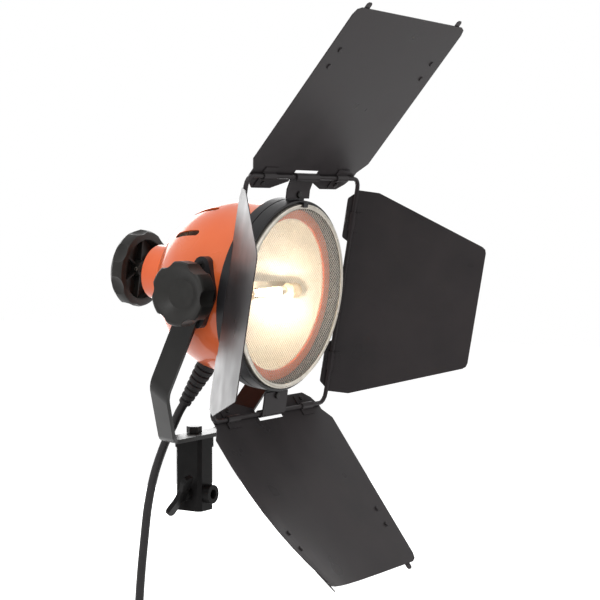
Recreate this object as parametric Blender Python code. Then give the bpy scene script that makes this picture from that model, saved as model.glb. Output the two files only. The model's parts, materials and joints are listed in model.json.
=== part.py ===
"""Open-face stage light of the 800 W class on its yoke, with a four-leaf barndoor.

Metres, +Z up. The origin is the centre of the spigot socket's mouth.
The lamp head looks along -Y, and -X is the side of the tilt knob.
"""
import math

import bmesh
import bpy
import numpy as np
from mathutils import Matrix, Vector

# Clearances
GAP = 0.0003
RUNNING_GAP = 0.0005

# Rest pose
HEAD_PITCH = math.radians(7.4)
FRAME_LEAN = math.radians(2.7)
TOP_LEAF_OPEN = math.radians(60)
BOTTOM_LEAF_OPEN = math.radians(44)
NEAR_LEAF_OPEN = math.radians(48)
FAR_LEAF_OPEN = math.radians(40)

# Tilt axis above and ahead of the socket's mouth
TILT_AXIS_HEIGHT = 0.236
TILT_AXIS_AHEAD = 0.0725

# Bell of the housing
BELL_RADIUS = 0.090
BELL_WALL = 0.0015
BELL_FRONT = 0.040
BELL_CENTRE = -0.010
BELL_LIP = 0.0115
BELL_LIP_RADIUS = BELL_RADIUS - BELL_LIP
CAP_INSET = 0.041
CAP_RADIUS = BELL_RADIUS - CAP_INSET
VENT_STEP = math.radians(25.5)
VENTS_EACH_SIDE = 2
VENT_REAR = -0.058
VENT_FRONT = -0.024
VENT_WIDTH = 0.007
VENT_CUT_DEPTH = 0.035
THROUGH = 0.020

# Rear neck
NECK_RADIUS = 0.029
NECK_LENGTH = 0.031
NECK_END = -(BELL_RADIUS + NECK_LENGTH)
NECK_PLATE = 0.0025

# Front rim, barndoor ring and guard
RIM_STEP = 0.0085
RIM_RADIUS = BELL_RADIUS + RIM_STEP
RIM_REAR = 0.026
RIM_FLANGE = 0.0102
SLEEVE_STEP = 0.0048
SLEEVE_RADIUS = BELL_RADIUS + SLEEVE_STEP
SLEEVE_WALL = 0.0063
SLEEVE_BORE = SLEEVE_RADIUS - SLEEVE_WALL
SLEEVE_FRONT = 0.0493
DOOR_RING_WALL = 0.0034
DOOR_RING_RADIUS = SLEEVE_RADIUS + DOOR_RING_WALL
DOOR_RING_LENGTH = 0.014
GUARD_OVERHANG = 0.0002
GUARD_RADIUS = SLEEVE_RADIUS + GUARD_OVERHANG
GUARD_LIP = 0.005
GUARD_BORE = GUARD_RADIUS - GUARD_LIP
GUARD_FRONT = 0.054
GUARD_SHEET = 0.0008
GUARD_CLIP_WIDTH = 0.008
GUARD_CLIP_SHEET = 0.0012
GUARD_CLIP_ANGLE = math.radians(90)
MESH_PITCH = 0.0150
MESH_WIRE = 0.0012
MESH_THICKNESS = 0.0008

# Reflector and lamp
REFLECTOR_INSET = 0.0125
REFLECTOR_RADIUS = BELL_RADIUS - REFLECTOR_INSET
REFLECTOR_SHEET = 0.0007
REFLECTOR_HOLE = 0.020
LAMP_AHEAD = 0.022
LAMP_RADIUS = 0.0055
LAMP_HALF_LENGTH = 0.0355
HOLDER_RADIUS = 0.008
HOLDER_LENGTH = 0.0164
FORK_ARM = 0.014
FORK_SHEET = 0.0015
FORK_HALF_WIDTH = 0.007
FORK_PAD = 0.013
FORK_FRONT_DROP = 0.034
STEM_RADIUS = 0.007
STEM_BORE = 0.0045
STEM_WALL = 0.004
STEM_INSET = 0.023
STEM_REAR = NECK_END + STEM_INSET
SHAFT_RADIUS = 0.0041
SHAFT_FRONT = -0.060
SHAFT_COLLAR_RADIUS = 0.009
SHAFT_COLLAR_LENGTH = 0.002
BAFFLE_REAR = -0.0622
BAFFLE_RADIUS = math.sqrt((BELL_RADIUS - BELL_WALL) ** 2 - (BELL_CENTRE - BAFFLE_REAR) ** 2) - 2 * GAP
BAFFLE_SHEET = 0.0015
BAFFLE_HUB_RADIUS = 0.012
BAFFLE_HUB_LENGTH = 0.012
TERMINAL_SIZE = (0.032, 0.014, 0.016)
TERMINAL_INSET = 0.056
TERMINAL_DROP = BELL_RADIUS - TERMINAL_INSET

# Focus knob
FOCUS_KNOB_RADIUS = 0.0415
FOCUS_KNOB_BORE = 0.032
FOCUS_KNOB_GAP = 0.0165
FOCUS_KNOB_RIM = NECK_END - FOCUS_KNOB_GAP
FOCUS_KNOB_LENGTH = 0.0175
FOCUS_KNOB_DEPTH = 0.0125
FOCUS_KNOB_HUB = 0.009
FOCUS_HUB_DROP = 0.003
SHAFT_SOCKET = 0.002
FOCUS_KNOB_SCALLOP = 0.0040
FOCUS_KNOB_NOTCHES = 7

# Tilt knob, bolts and side plates
TILT_KNOB_RADIUS = 0.0315
TILT_KNOB_LENGTH = 0.0317
TILT_KNOB_BODY = 0.0235
TILT_KNOB_HUB = 0.012
TILT_KNOB_DISH = 0.0025
TILT_KNOB_DISC = 0.0135
TILT_KNOB_SCALLOP = 0.0035
TILT_KNOB_NOTCHES = 6
TILT_BOLT_RADIUS = 0.004
TILT_BOLT_HEAD = 0.007
TILT_BOLT_HEAD_LENGTH = 0.0041
PIVOT_NUT_RADIUS = 0.008
PIVOT_NUT_ROOM = 0.002
PIVOT_NUT_LENGTH = 0.0085
SIDE_PLATE_STEP = 0.003
SIDE_PLATE_FACE = BELL_RADIUS + SIDE_PLATE_STEP
SIDE_PLATE_REACH = 0.010
SIDE_PLATE_HALF_WIDTH = 0.020
SIDE_PLATE_END_RADIUS = 0.009
SIDE_SCREW_OFFSET = 0.027
SIDE_SCREW_HEAD = 0.004
SIDE_SCREW_HEAD_LENGTH = 0.0019
SIDE_SCREW_RADIUS = 0.0016
SIDE_SCREW_REACH = 0.006

# Yoke
YOKE_BAR_WIDTH = 0.0253
YOKE_BAR_THICKNESS = 0.0043
YOKE_ARM_LEAN = math.radians(25.3)
YOKE_ROOM = 0.0215
YOKE_ARM_LENGTH = BELL_RADIUS + YOKE_ROOM
YOKE_FOLD_SLOPE = math.radians(33.3)
YOKE_LOWER_INWARD = 0.0411
YOKE_LOWER_REARWARD = 0.0195
YOKE_BEND = 0.008

# Spigot socket for a 16 mm spigot
SOCKET_HEIGHT = 0.0771
SOCKET_COLLAR = 0.010
SOCKET_WIDTH = 0.026
SOCKET_DEPTH = 0.033
SOCKET_CHAMFER = 0.0035
SOCKET_BORE = 0.0082
SOCKET_BORE_DEPTH = 0.060
SOCKET_COLLAR_STEP = 0.001
SOCKET_FLOOR = 0.004
SOCKET_BOSS_RADIUS = 0.010
SOCKET_BOSS_LENGTH = 0.008
SOCKET_BOSS_HOLE = 0.0052
SCREW_HEIGHT = 0.018
SOCKET_BOLT_RADIUS = 0.004
SOCKET_BOLT_HEAD = 0.0083
SOCKET_BOLT_HEAD_LENGTH = 0.007
WING_SHAFT_RADIUS = 0.0038
WING_HUB_RADIUS = 0.007
WING_HUB_LENGTH = 0.0065
WING_HALF_SPAN = 0.026
WING_ROOT = 0.002
WING_DIP = 0.007
WING_REACH = 0.019
WING_THICKNESS = 0.005
WING_TURN = math.radians(32)

# Barndoor frame
FRAME_AHEAD = 0.046
FRAME_SIDE_ROOM = 0.0078
FRAME_HALF_WIDTH = DOOR_RING_RADIUS + FRAME_SIDE_ROOM
FRAME_END_ROOM = 0.0238
FRAME_HALF_HEIGHT = DOOR_RING_RADIUS + FRAME_END_ROOM
FRAME_CORNER = 0.010
ROD_RADIUS = 0.0024
BRACKET_HALF_WIDTH = 0.0215
BRACKET_SHEET = 0.0016
BRACKET_INSET = 0.0013
BRACKET_FOOT = DOOR_RING_RADIUS + BRACKET_INSET
BRACKET_LENGTH = 0.009
BRACKET_BEND = BRACKET_FOOT + BRACKET_LENGTH
BRACKET_FOOT_AHEAD = 0.0435
EAR_HALF_WIDTH = 0.015
EAR_LENGTH = 0.0118
EAR_HEIGHT = DOOR_RING_RADIUS + EAR_LENGTH
EAR_THICKNESS = 0.003
BRACKET_SCREW_INSET = 0.004
BRACKET_SCREW_HEIGHT = BRACKET_FOOT + BRACKET_SCREW_INSET
BRACKET_SCREW_HEAD = 0.0035
BRACKET_SCREW_RADIUS = 0.0018

# Barndoor leaves
LEAF_SHEET = 0.0010
BIG_LEAF_LENGTH = 0.196
BIG_LEAF_OVERHANG = 0.0035
BIG_LEAF_HALF_WIDTH = FRAME_HALF_WIDTH + BIG_LEAF_OVERHANG
BIG_LEAF_HINGE_INSET = 0.008
BIG_LEAF_HINGE_HALF = FRAME_HALF_WIDTH - BIG_LEAF_HINGE_INSET
BIG_LEAF_SHOULDER = 0.018
BIG_LEAF_CORNER = 0.009
BIG_TAB_INSET = 0.015
BIG_TAB_OUTER = FRAME_HALF_WIDTH - BIG_TAB_INSET
BIG_TAB_SLOPE = 0.044
BIG_TAB_CHAMFER = 0.011
BIG_TAB_INNER = 0.022
BIG_TAB_DEPTH = 0.017
BIG_NOTCH_DEPTH = 0.0065
BEND_ROOM = 0.0009
BOW_START = 0.020
BOW_RISE = 0.031
BOW_COLUMNS = (0, 0.36, 0.56, 0.70, 0.80, 0.88, 0.945, 1)
BOW_ROWS = (0.25, 0.40, 0.53, 0.65, 0.76, 0.86)
SIDE_LEAF_LENGTH = 0.151
SIDE_LEAF_INSET = 0.012
SIDE_LEAF_HINGE_HALF = FRAME_HALF_HEIGHT - SIDE_LEAF_INSET
SIDE_LEAF_SHOULDER = 0.025
SIDE_LEAF_TAPER = 0.044
SIDE_LEAF_TIP_HALF = SIDE_LEAF_HINGE_HALF - SIDE_LEAF_TAPER
SIDE_LEAF_CORNER = 0.007
SIDE_TAB_DEPTH = 0.008
SIDE_TAB_LENGTH = 0.052
SIDE_TAB_INNER = SIDE_LEAF_HINGE_HALF - SIDE_TAB_LENGTH
STRAP_SHEET = 0.0010
BIG_STRAP_INSET = 0.022
BIG_STRAP_PLACE = BIG_TAB_OUTER - BIG_STRAP_INSET
BIG_STRAP_HALF = 0.011
SIDE_STRAP_INSET = 0.034
SIDE_STRAP_PLACE = SIDE_LEAF_HINGE_HALF - SIDE_STRAP_INSET
SIDE_STRAP_HALF = 0.010
STRAP_TAB_FOOT = 0.014
STRAP_LEAF_FOOT = 0.0095
SIDE_STRAP_TAB_FOOT = 0.0078
STRAP_SCREW_RADIUS = 0.0026
STRAP_SCREW_LENGTH = 0.0014
STRAP_SCREW_PLACE = 0.0098
SIDE_STRAP_SCREW_PLACE = 0.0052
GEL_CLIP_INSET = 0.0185
GEL_CLIP_PLACE = BIG_LEAF_HALF_WIDTH - GEL_CLIP_INSET
GEL_CLIP_HALF_WIDTH = 0.0045
GEL_CLIP_SHEET = 0.0008
GEL_CLIP_START = 0.122
GEL_CLIP_OVERHANG = 0.006
GEL_RIVETS = (0.130, 0.149)
GEL_RIVET_RADIUS = 0.0017
GEL_RIVET_HEAD = 0.003
GEL_RIVET_HEAD_LENGTH = 0.0009

# Mains lead
CORD_RADIUS = 0.0047
RELIEF_DROP_ANGLE = math.radians(62.8)
RELIEF_REACH = 0.060
RELIEF_END = BELL_RADIUS + RELIEF_REACH
RELIEF_NUT_RADIUS = 0.0115
RELIEF_NUT_LENGTH = 0.006
RELIEF_STEM_RADIUS = 0.0062
RELIEF_STEM_INSET = 0.010
RELIEF_STEM_START = BELL_RADIUS - RELIEF_STEM_INSET
RELIEF_BASE_RADIUS = 0.0105
RELIEF_TIP_RADIUS = 0.0062
RELIEF_RIBS = 7
RELIEF_RIB_DEPTH = 0.0016
CORD_ROUTE = (
    (0.0268, 0.0890),
    (0.0395, 0.0660),
    (0.0530, 0.0330),
    (0.0618, -0.0024),
    (0.0670, -0.0392),
    (0.0714, -0.0759),
    (0.0745, -0.1120),
    (0.0760, -0.1450),
    (0.0760, -0.1700),
)
COIL_START = (0.0760, -0.2000)
COIL_TURNS = 4
COIL_POINTS = 18
COIL_MEAN_RADIUS = 0.053
COIL_SPACING = 0.0007
COIL_TAIL = 0.032
TIE_SHEET = 0.0015
TIE_HALF_WIDTH = 0.006
PLUG_BOOT_LENGTH = 0.028
PLUG_BOOT_RADIUS = 0.0065
PLUG_BODY_LENGTH = 0.034
PLUG_BODY_RADIUS = 0.0185
PLUG_PIN_RADIUS = 0.0024
PLUG_PIN_LENGTH = 0.019
PLUG_PIN_PLACE = 0.0095


def clear_scene():
    """Empties the file that the script runs in."""
    for item in list(bpy.data.objects):
        bpy.data.objects.remove(item, do_unlink=True)


def linear(value):
    """One sRGB channel as linear light."""
    if value <= 0.04045:
        return value / 12.92
    return ((value + 0.055) / 1.055) ** 2.4


def finish(name, colour, roughness, metallic=0.0):
    """A Principled material from a hex colour."""
    made = bpy.data.materials.new(name)
    made.use_nodes = True
    channels = [linear(int(colour[i:i + 2], 16) / 255) for i in (0, 2, 4)]
    shader = made.node_tree.nodes["Principled BSDF"]
    shader.inputs["Base Color"].default_value = (*channels, 1)
    shader.inputs["Roughness"].default_value = roughness
    shader.inputs["Metallic"].default_value = metallic
    made.diffuse_color = (*channels, 1)
    return made


def axis_empty(name, matrix, parent=None):
    """An empty on a joint's axis, placed in its parent's frame."""
    made = bpy.data.objects.new(name, None)
    made.empty_display_size = 0.02
    bpy.context.collection.objects.link(made)
    made.parent = parent
    made.matrix_local = matrix
    return made


def place(name, mesh_or_curve, material, parent):
    """Links one named piece under the empty that carries it."""
    mesh_or_curve.materials.append(material)
    made = bpy.data.objects.new(name, mesh_or_curve)
    bpy.context.collection.objects.link(made)
    made.parent = parent
    return made


def piece(name, bm, material, parent):
    """Turns a bmesh into a named piece with its faces pointing out."""
    bmesh.ops.recalc_face_normals(bm, faces=bm.faces)
    mesh = bpy.data.meshes.new(name)
    bm.to_mesh(mesh)
    bm.free()
    mesh.shade_smooth()
    mesh.set_sharp_from_angle(angle=math.radians(35))
    return place(name, mesh, material, parent)


def cutter(owner, bm, operation="DIFFERENCE"):
    """Adds an exact Boolean to a piece, with a hidden shape as its tool."""
    number = len(owner.modifiers)
    tool = piece(f"{owner.name}_tool_{number}", bm, owner.data.materials[0], owner.parent)
    tool.hide_render = True
    tool.display_type = "WIRE"
    modifier = owner.modifiers.new(f"cut_{number}", "BOOLEAN")
    modifier.operation = operation
    modifier.solver = "EXACT"
    modifier.object = tool
    return tool


def loft(rings, matrix=Matrix(), closed=False):
    """A closed solid through rings of points; a ring of one point is a pole."""
    bm = bmesh.new()
    made = [[bm.verts.new(matrix @ Vector(p)) for p in ring] for ring in rings]
    pairs = list(zip(made, made[1:]))
    if closed:
        pairs.append((made[-1], made[0]))
    for low, high in pairs:
        count = max(len(low), len(high))
        if count == 1:
            continue
        for k in range(count):
            m = (k + 1) % count
            corners = (low[k % len(low)], low[m % len(low)], high[m % len(high)], high[k % len(high)])
            bm.faces.new(list(dict.fromkeys(corners)))
    if not closed:
        for ring in (made[0], made[-1]):
            if len(ring) > 2:
                bm.faces.new(ring)
    return bm


def turned(outline, segments=32, matrix=Matrix()):
    """A solid turned about local Z from a closed outline of (radius, height)."""
    rings = []
    for radius, height in outline:
        if radius == 0:
            rings.append([(0, 0, height)])
            continue
        steps = [2 * math.pi * k / segments for k in range(segments)]
        rings.append([(radius * math.cos(t), radius * math.sin(t), height) for t in steps])
    whole = outline[0][0] != 0
    return loft(rings, matrix, closed=whole)


def rod(radius, low, high, segments=16, matrix=Matrix()):
    """A plain round bar along local Z."""
    return turned([(0, low), (radius, low), (radius, high), (0, high)], segments, matrix)


def prism(outline, low, high, matrix=Matrix()):
    """An outline in local X and Y, drawn out along local Z."""
    return loft([[(x, y, low) for x, y in outline], [(x, y, high) for x, y in outline]], matrix)


def block(low, high, matrix=Matrix()):
    """A box between two corners."""
    outline = [(low[0], low[1]), (high[0], low[1]), (high[0], high[1]), (low[0], high[1])]
    return prism(outline, low[2], high[2], matrix)


def arc(centre, radius, start, end, steps):
    """Points of an arc, both ends included."""
    angles = [start + (end - start) * k / steps for k in range(steps + 1)]
    return [(centre[0] + radius * math.cos(t), centre[1] + radius * math.sin(t)) for t in angles]


def rounded(corners, steps=3):
    """An outline from (x, y, radius) corners, with each corner as an arc."""
    points = []
    count = len(corners)
    for i, (x, y, radius) in enumerate(corners):
        here = Vector((x, y))
        if radius == 0:
            points.append((x, y))
            continue
        before = (Vector(corners[i - 1][:2]) - here).normalized()
        after = (Vector(corners[(i + 1) % count][:2]) - here).normalized()
        half = math.acos(max(-1, min(1, before.dot(after)))) / 2
        reach = radius / math.tan(half)
        centre = here + (before + after).normalized() * radius / math.sin(half)
        start = here + before * reach - centre
        swing = math.pi - 2 * half
        side = 1 if before.cross(after) < 0 else -1
        for k in range(steps + 1):
            turn = side * swing * k / steps
            c, s = math.cos(turn), math.sin(turn)
            points.append((centre.x + start.x * c - start.y * s, centre.y + start.x * s + start.y * c))
    return points


def sphere_outline(radius, centre, start, end, steps):
    """Outline points on the rear half of a sphere, between two distances from its axis."""
    first = math.asin(min(1, start / radius))
    last = math.asin(min(1, end / radius))
    angles = [first + (last - first) * k / steps for k in range(steps + 1)]
    return [(radius * math.sin(t), centre - radius * math.cos(t)) for t in angles]


ALONG_X = Matrix.Rotation(math.radians(90), 4, "Y")
ALONG_MINUS_X = Matrix.Rotation(math.radians(-90), 4, "Y")
ALONG_MINUS_Y = Matrix.Rotation(math.radians(90), 4, "X")


# Finishes
clear_scene()
ORANGE = finish("orange_paint", "DF5A2E", 0.28)
BLACK_PAINT = finish("black_paint", "2B2A2C", 0.45)
LEAF_PAINT = finish("leaf_paint", "403C3D", 0.55)
YOKE_PAINT = finish("yoke_paint", "262522", 0.40)
KNOB_PLASTIC = finish("knob_plastic", "2F2E2C", 0.50)
CAST_BLACK = finish("cast_black", "242223", 0.50)
ZINC = finish("zinc_steel", "B5B0A8", 0.35, 1.0)
DARK_SCREW = finish("dark_screw", "1C1B1B", 0.40, 0.6)
REFLECTOR_METAL = finish("reflector_metal", "E8E2D2", 0.30, 1.0)
QUARTZ = finish("quartz", "F4F2EA", 0.05)
CERAMIC = finish("ceramic", "E9E4D8", 0.60)
RUBBER = finish("cord_rubber", "2A2829", 0.70)
TIE_RUBBER = finish("tie_rubber", "1A1819", 0.80)
PLUG_RUBBER = finish("plug_rubber", "201E1F", 0.60)
BRASS = finish("pin_brass", "C9A45A", 0.30, 1.0)

# Frames: the yoke is at rest, the head tilts, the optical axis is the head's local Z
ROOT = axis_empty("yoke_frame", Matrix())
TILT_AXIS = axis_empty(
    "tilt_axis",
    Matrix.Translation((0, -TILT_AXIS_AHEAD, TILT_AXIS_HEIGHT)) @ Matrix.Rotation(HEAD_PITCH, 4, "X"),
    ROOT,
)
OPTICAL_AXIS = axis_empty("optical_axis", ALONG_MINUS_Y, TILT_AXIS)
DOOR_AXIS = axis_empty("door_axis", ALONG_MINUS_Y, TILT_AXIS)


# Yoke
def yoke_edges():
    """Front and rear edge points of the bar's outer face, from the near arm's eye to the far one's."""
    pivot = Vector((-TILT_AXIS_AHEAD, TILT_AXIS_HEIGHT))
    down = Vector((math.sin(YOKE_ARM_LEAN), -math.cos(YOKE_ARM_LEAN)))
    ahead = Vector((-math.cos(YOKE_ARM_LEAN), -math.sin(YOKE_ARM_LEAN)))
    slope = Vector((-math.cos(YOKE_FOLD_SLOPE), -math.sin(YOKE_FOLD_SLOPE)))
    outer = SIDE_PLATE_FACE + GAP + YOKE_BAR_THICKNESS
    fold_centre = pivot + down * YOKE_ARM_LENGTH
    drop = fold_centre.y - SOCKET_HEIGHT
    inward = Vector((YOKE_LOWER_INWARD / drop, YOKE_LOWER_REARWARD / drop))
    sides = []
    for sign in (1, -1):
        eye = pivot + ahead * sign * YOKE_BAR_WIDTH / 2
        reach = (eye - fold_centre).cross(down) / slope.cross(down)
        fold = fold_centre + slope * reach
        fall = fold.y - SOCKET_HEIGHT
        base = Vector((fold.x + inward.y * fall, SOCKET_HEIGHT))
        sides.append([
            Vector((outer, eye.x, eye.y)),
            Vector((outer, fold.x, fold.y)),
            Vector((outer - inward.x * fall, base.x, base.y)),
        ])
    return pivot, down, sides


def yoke_bracket():
    """One flat bar: two leaning arms, two oblique lower arms and a level base."""
    pivot, down, sides = yoke_edges()
    mirror = Matrix.Scale(-1, 4, (1, 0, 0))
    bm = bmesh.new()
    columns = []
    for side in sides:
        near = [bm.verts.new(mirror @ p) for p in side]
        far = [bm.verts.new(p) for p in side]
        columns.append(near + far[::-1])
    for i in range(5):
        bm.faces.new((columns[0][i], columns[0][i + 1], columns[1][i + 1], columns[1][i]))
    outer = sides[0][0].x
    middle = Vector((0, pivot.x, pivot.y))
    up = Vector((0, -down.x, -down.y))
    for sign, index in ((-1, 0), (1, 5)):
        front, rear = columns[0][index], columns[1][index]
        ahead = (sides[0][0] - Vector((outer, pivot.x, pivot.y))).normalized()
        steps = [math.pi * k / 8 for k in range(1, 8)]
        half = YOKE_BAR_WIDTH / 2
        cap = [middle + Vector((sign * outer, 0, 0)) + (ahead * math.cos(t) + up * math.sin(t)) * half for t in steps]
        bm.faces.new([front] + [bm.verts.new(p) for p in cap] + [rear])
    bm.edges.ensure_lookup_table()
    folds = [
        bm.edges.get((columns[0][i], columns[1][i])) for i in (1, 2, 3, 4)
    ]
    bmesh.ops.bevel(bm, geom=folds, offset=YOKE_BEND, segments=3, affect="EDGES", profile=0.5)
    made = piece("yoke_bracket", bm, YOKE_PAINT, ROOT)
    level = [f for f in made.data.polygons if abs(f.normal.z) > 0.99]
    if level and level[0].normal.z > 0:
        made.data.flip_normals()
    shell = made.modifiers.new("thickness", "SOLIDIFY")
    shell.thickness = YOKE_BAR_THICKNESS
    shell.offset = -1
    shell.use_even_offset = True
    tilt_hole = Matrix.Translation((0, -TILT_AXIS_AHEAD, TILT_AXIS_HEIGHT)) @ ALONG_X
    past = SIDE_PLATE_FACE + THROUGH
    cutter(made, rod(TILT_BOLT_RADIUS + GAP, -past, past, 20, tilt_hole))
    cutter(made, rod(SOCKET_BOLT_RADIUS + GAP, SOCKET_HEIGHT - THROUGH, SOCKET_HEIGHT + THROUGH, 20))
    return made


def socket_outline(half_width, half_depth):
    """The socket's chamfered section."""
    c = SOCKET_CHAMFER
    corners = []
    for sx, sy in ((1, 1), (-1, 1), (-1, -1), (1, -1)):
        ends = [(sx * half_width, sy * (half_depth - c)), (sx * (half_width - c), sy * half_depth)]
        corners += ends if sx * sy > 0 else ends[::-1]
    return corners


def spigot_socket():
    """The cast socket with its collar, its bore, its lug and its tapped holes."""
    body = socket_outline(SOCKET_WIDTH / 2, SOCKET_DEPTH / 2)
    collar = socket_outline(SOCKET_WIDTH / 2 + SOCKET_COLLAR_STEP, SOCKET_DEPTH / 2 + SOCKET_COLLAR_STEP)
    top = SOCKET_HEIGHT - GAP
    step = top - SOCKET_COLLAR
    levels = ((body, 0), (body, step), (collar, step), (collar, top))
    made = piece("spigot_socket", loft([[(x, y, z) for x, y in ring] for ring, z in levels]), CAST_BLACK, ROOT)
    lug = Matrix.Translation((0, 0, SCREW_HEIGHT)) @ ALONG_MINUS_Y
    boss_end = SOCKET_DEPTH / 2 + SOCKET_BOSS_LENGTH
    cutter(made, rod(SOCKET_BOSS_RADIUS, (SOCKET_BORE + SOCKET_DEPTH / 2) / 2, boss_end, 24, lug), "UNION")
    cutter(made, rod(SOCKET_BORE, -THROUGH, SOCKET_BORE_DEPTH, 32))
    cutter(made, rod(SOCKET_BOSS_HOLE, 0, SOCKET_DEPTH, 16, lug))
    screw = Matrix.Translation((0, 0, SCREW_HEIGHT)) @ ALONG_MINUS_X
    cutter(made, rod(WING_SHAFT_RADIUS + GAP, 0, SOCKET_WIDTH, 16, screw))
    cutter(made, rod(SOCKET_BOLT_RADIUS + GAP, SOCKET_BORE_DEPTH + SOCKET_FLOOR, SOCKET_HEIGHT + THROUGH, 16))
    return made


def socket_bolt():
    """The hexagon bolt that holds the yoke's base on the socket."""
    head = SOCKET_HEIGHT + YOKE_BAR_THICKNESS + GAP
    low = SOCKET_BORE_DEPTH + SOCKET_FLOOR + RUNNING_GAP
    outline = [(SOCKET_BOLT_HEAD * math.cos(t), SOCKET_BOLT_HEAD * math.sin(t))
               for t in [math.pi * k / 3 for k in range(6)]]
    made = piece("socket_bolt", prism(outline, head, head + SOCKET_BOLT_HEAD_LENGTH), DARK_SCREW, ROOT)
    cutter(made, rod(SOCKET_BOLT_RADIUS, low, head + SOCKET_BOLT_HEAD_LENGTH / 2, 16), "UNION")
    return made


def wing_screw(parent):
    """The wing screw that clamps the spigot, along its own axis."""
    face = SOCKET_WIDTH / 2 + GAP
    outline = [(0, SOCKET_BORE + RUNNING_GAP), (WING_SHAFT_RADIUS, SOCKET_BORE + RUNNING_GAP),
               (WING_SHAFT_RADIUS, face), (WING_HUB_RADIUS, face),
               (WING_HUB_RADIUS, face + WING_HUB_LENGTH), (0, face + WING_HUB_LENGTH)]
    made = piece("wing_screw", turned(outline, 20), CAST_BLACK, parent)
    root = face + WING_HUB_LENGTH - WING_ROOT
    tip = root + WING_REACH
    foot = WING_HUB_RADIUS - WING_ROOT
    s = WING_HALF_SPAN
    corners = ((-foot, root, 0), (foot, root, 0), (s, root + 0.004, 0.004), (s - 0.003, tip, 0.006),
               (0.006, tip - WING_DIP, 0.003), (-0.006, tip - WING_DIP, 0.003), (0.003 - s, tip, 0.006),
               (-s, root + 0.004, 0.004))
    turn = Matrix.Rotation(math.radians(90), 4, "X")
    half = WING_THICKNESS / 2
    cutter(made, prism(rounded(corners, 3), -half, half, turn), "UNION")
    return made


# Housing
def housing_bell():
    """The bell: a drum with a rounded rear, an inner lip and three top vents."""
    inner = BELL_RADIUS - BELL_WALL
    outline = [(BELL_LIP_RADIUS, BELL_FRONT), (BELL_RADIUS, BELL_FRONT)]
    outline += sphere_outline(BELL_RADIUS, BELL_CENTRE, BELL_RADIUS, CAP_RADIUS, 6)
    outline += sphere_outline(inner, BELL_CENTRE, CAP_RADIUS, inner, 6)
    outline += [(inner, BELL_FRONT - BELL_WALL), (BELL_LIP_RADIUS, BELL_FRONT - BELL_WALL)]
    made = piece("housing_bell", turned(outline, 44), ORANGE, OPTICAL_AXIS)
    for k in range(-VENTS_EACH_SIDE, VENTS_EACH_SIDE + 1):
        angle = VENT_STEP * k
        half = VENT_WIDTH / 2
        corners = [(-half, VENT_REAR, half * 0.98), (half, VENT_REAR, half * 0.98),
                   (half, VENT_FRONT, half * 0.98), (-half, VENT_FRONT, half * 0.98)]
        lay = Matrix.Rotation(angle, 4, "Z") @ Matrix.Rotation(math.radians(90), 4, "X")
        cutter(made, prism(rounded(corners, 3), -(BELL_RADIUS + THROUGH), VENT_CUT_DEPTH - BELL_RADIUS, lay))
    past = BELL_RADIUS + THROUGH
    cutter(made, rod(TILT_BOLT_RADIUS + GAP, -past, past, 16, ALONG_X))
    for place_y in (SIDE_SCREW_OFFSET, -SIDE_SCREW_OFFSET):
        hole = Matrix.Translation((0, place_y, 0)) @ ALONG_X
        cutter(made, rod(SIDE_SCREW_RADIUS + GAP, -past, past, 10, hole))
    cutter(made, rod(RELIEF_STEM_RADIUS + GAP, BELL_RADIUS - THROUGH, past, 14, relief_turn()))
    return made


def rear_neck():
    """The rear cap and the neck that carries the focus shaft."""
    inner = BELL_RADIUS - BELL_WALL
    edge = CAP_RADIUS - GAP
    bore = NECK_RADIUS - BELL_WALL
    outline = sphere_outline(BELL_RADIUS, BELL_CENTRE, edge, NECK_RADIUS, 3)
    outline += [(NECK_RADIUS, NECK_END), (SHAFT_RADIUS + RUNNING_GAP, NECK_END)]
    outline += [(SHAFT_RADIUS + RUNNING_GAP, NECK_END + NECK_PLATE), (bore, NECK_END + NECK_PLATE)]
    outline += sphere_outline(inner, BELL_CENTRE, bore, edge, 3)
    return piece("rear_neck", turned(outline, 36), ORANGE, OPTICAL_AXIS)


def front_rim():
    """The fixed black rim, with the sleeve that the barndoor ring turns on."""
    seat = BELL_RADIUS + GAP
    flange = RIM_REAR + RIM_FLANGE
    shoulder = BELL_FRONT + GAP
    outline = [(seat, RIM_REAR), (RIM_RADIUS, RIM_REAR), (RIM_RADIUS, flange), (SLEEVE_RADIUS, flange),
               (SLEEVE_RADIUS, SLEEVE_FRONT), (SLEEVE_BORE, SLEEVE_FRONT), (SLEEVE_BORE, shoulder), (seat, shoulder)]
    return piece("front_rim", turned(outline, 48), BLACK_PAINT, OPTICAL_AXIS)


def reflector():
    """The spun bowl, hung by its flange behind the bell's lip."""
    front = BELL_FRONT - BELL_WALL - GAP
    centre = front - REFLECTOR_SHEET
    rim = BELL_RADIUS - BELL_WALL - GAP
    outer = REFLECTOR_RADIUS + REFLECTOR_SHEET
    outline = [(REFLECTOR_RADIUS, front), (rim, front), (rim, centre)]
    outline += sphere_outline(outer, centre, outer, REFLECTOR_HOLE, 5)
    outline += sphere_outline(REFLECTOR_RADIUS, centre, REFLECTOR_HOLE, REFLECTOR_RADIUS, 5)
    return piece("reflector", turned(outline, 28), REFLECTOR_METAL, OPTICAL_AXIS)


def heat_baffle():
    """The disc across the bell that guides the lamp carriage."""
    front = BAFFLE_REAR + BAFFLE_SHEET
    bore = STEM_RADIUS + RUNNING_GAP
    outline = [(bore, BAFFLE_REAR), (BAFFLE_RADIUS, BAFFLE_REAR), (BAFFLE_RADIUS, front),
               (BAFFLE_HUB_RADIUS, front), (BAFFLE_HUB_RADIUS, BAFFLE_REAR + BAFFLE_HUB_LENGTH),
               (bore, BAFFLE_REAR + BAFFLE_HUB_LENGTH)]
    return piece("heat_baffle", turned(outline, 28), ZINC, OPTICAL_AXIS)


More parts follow.
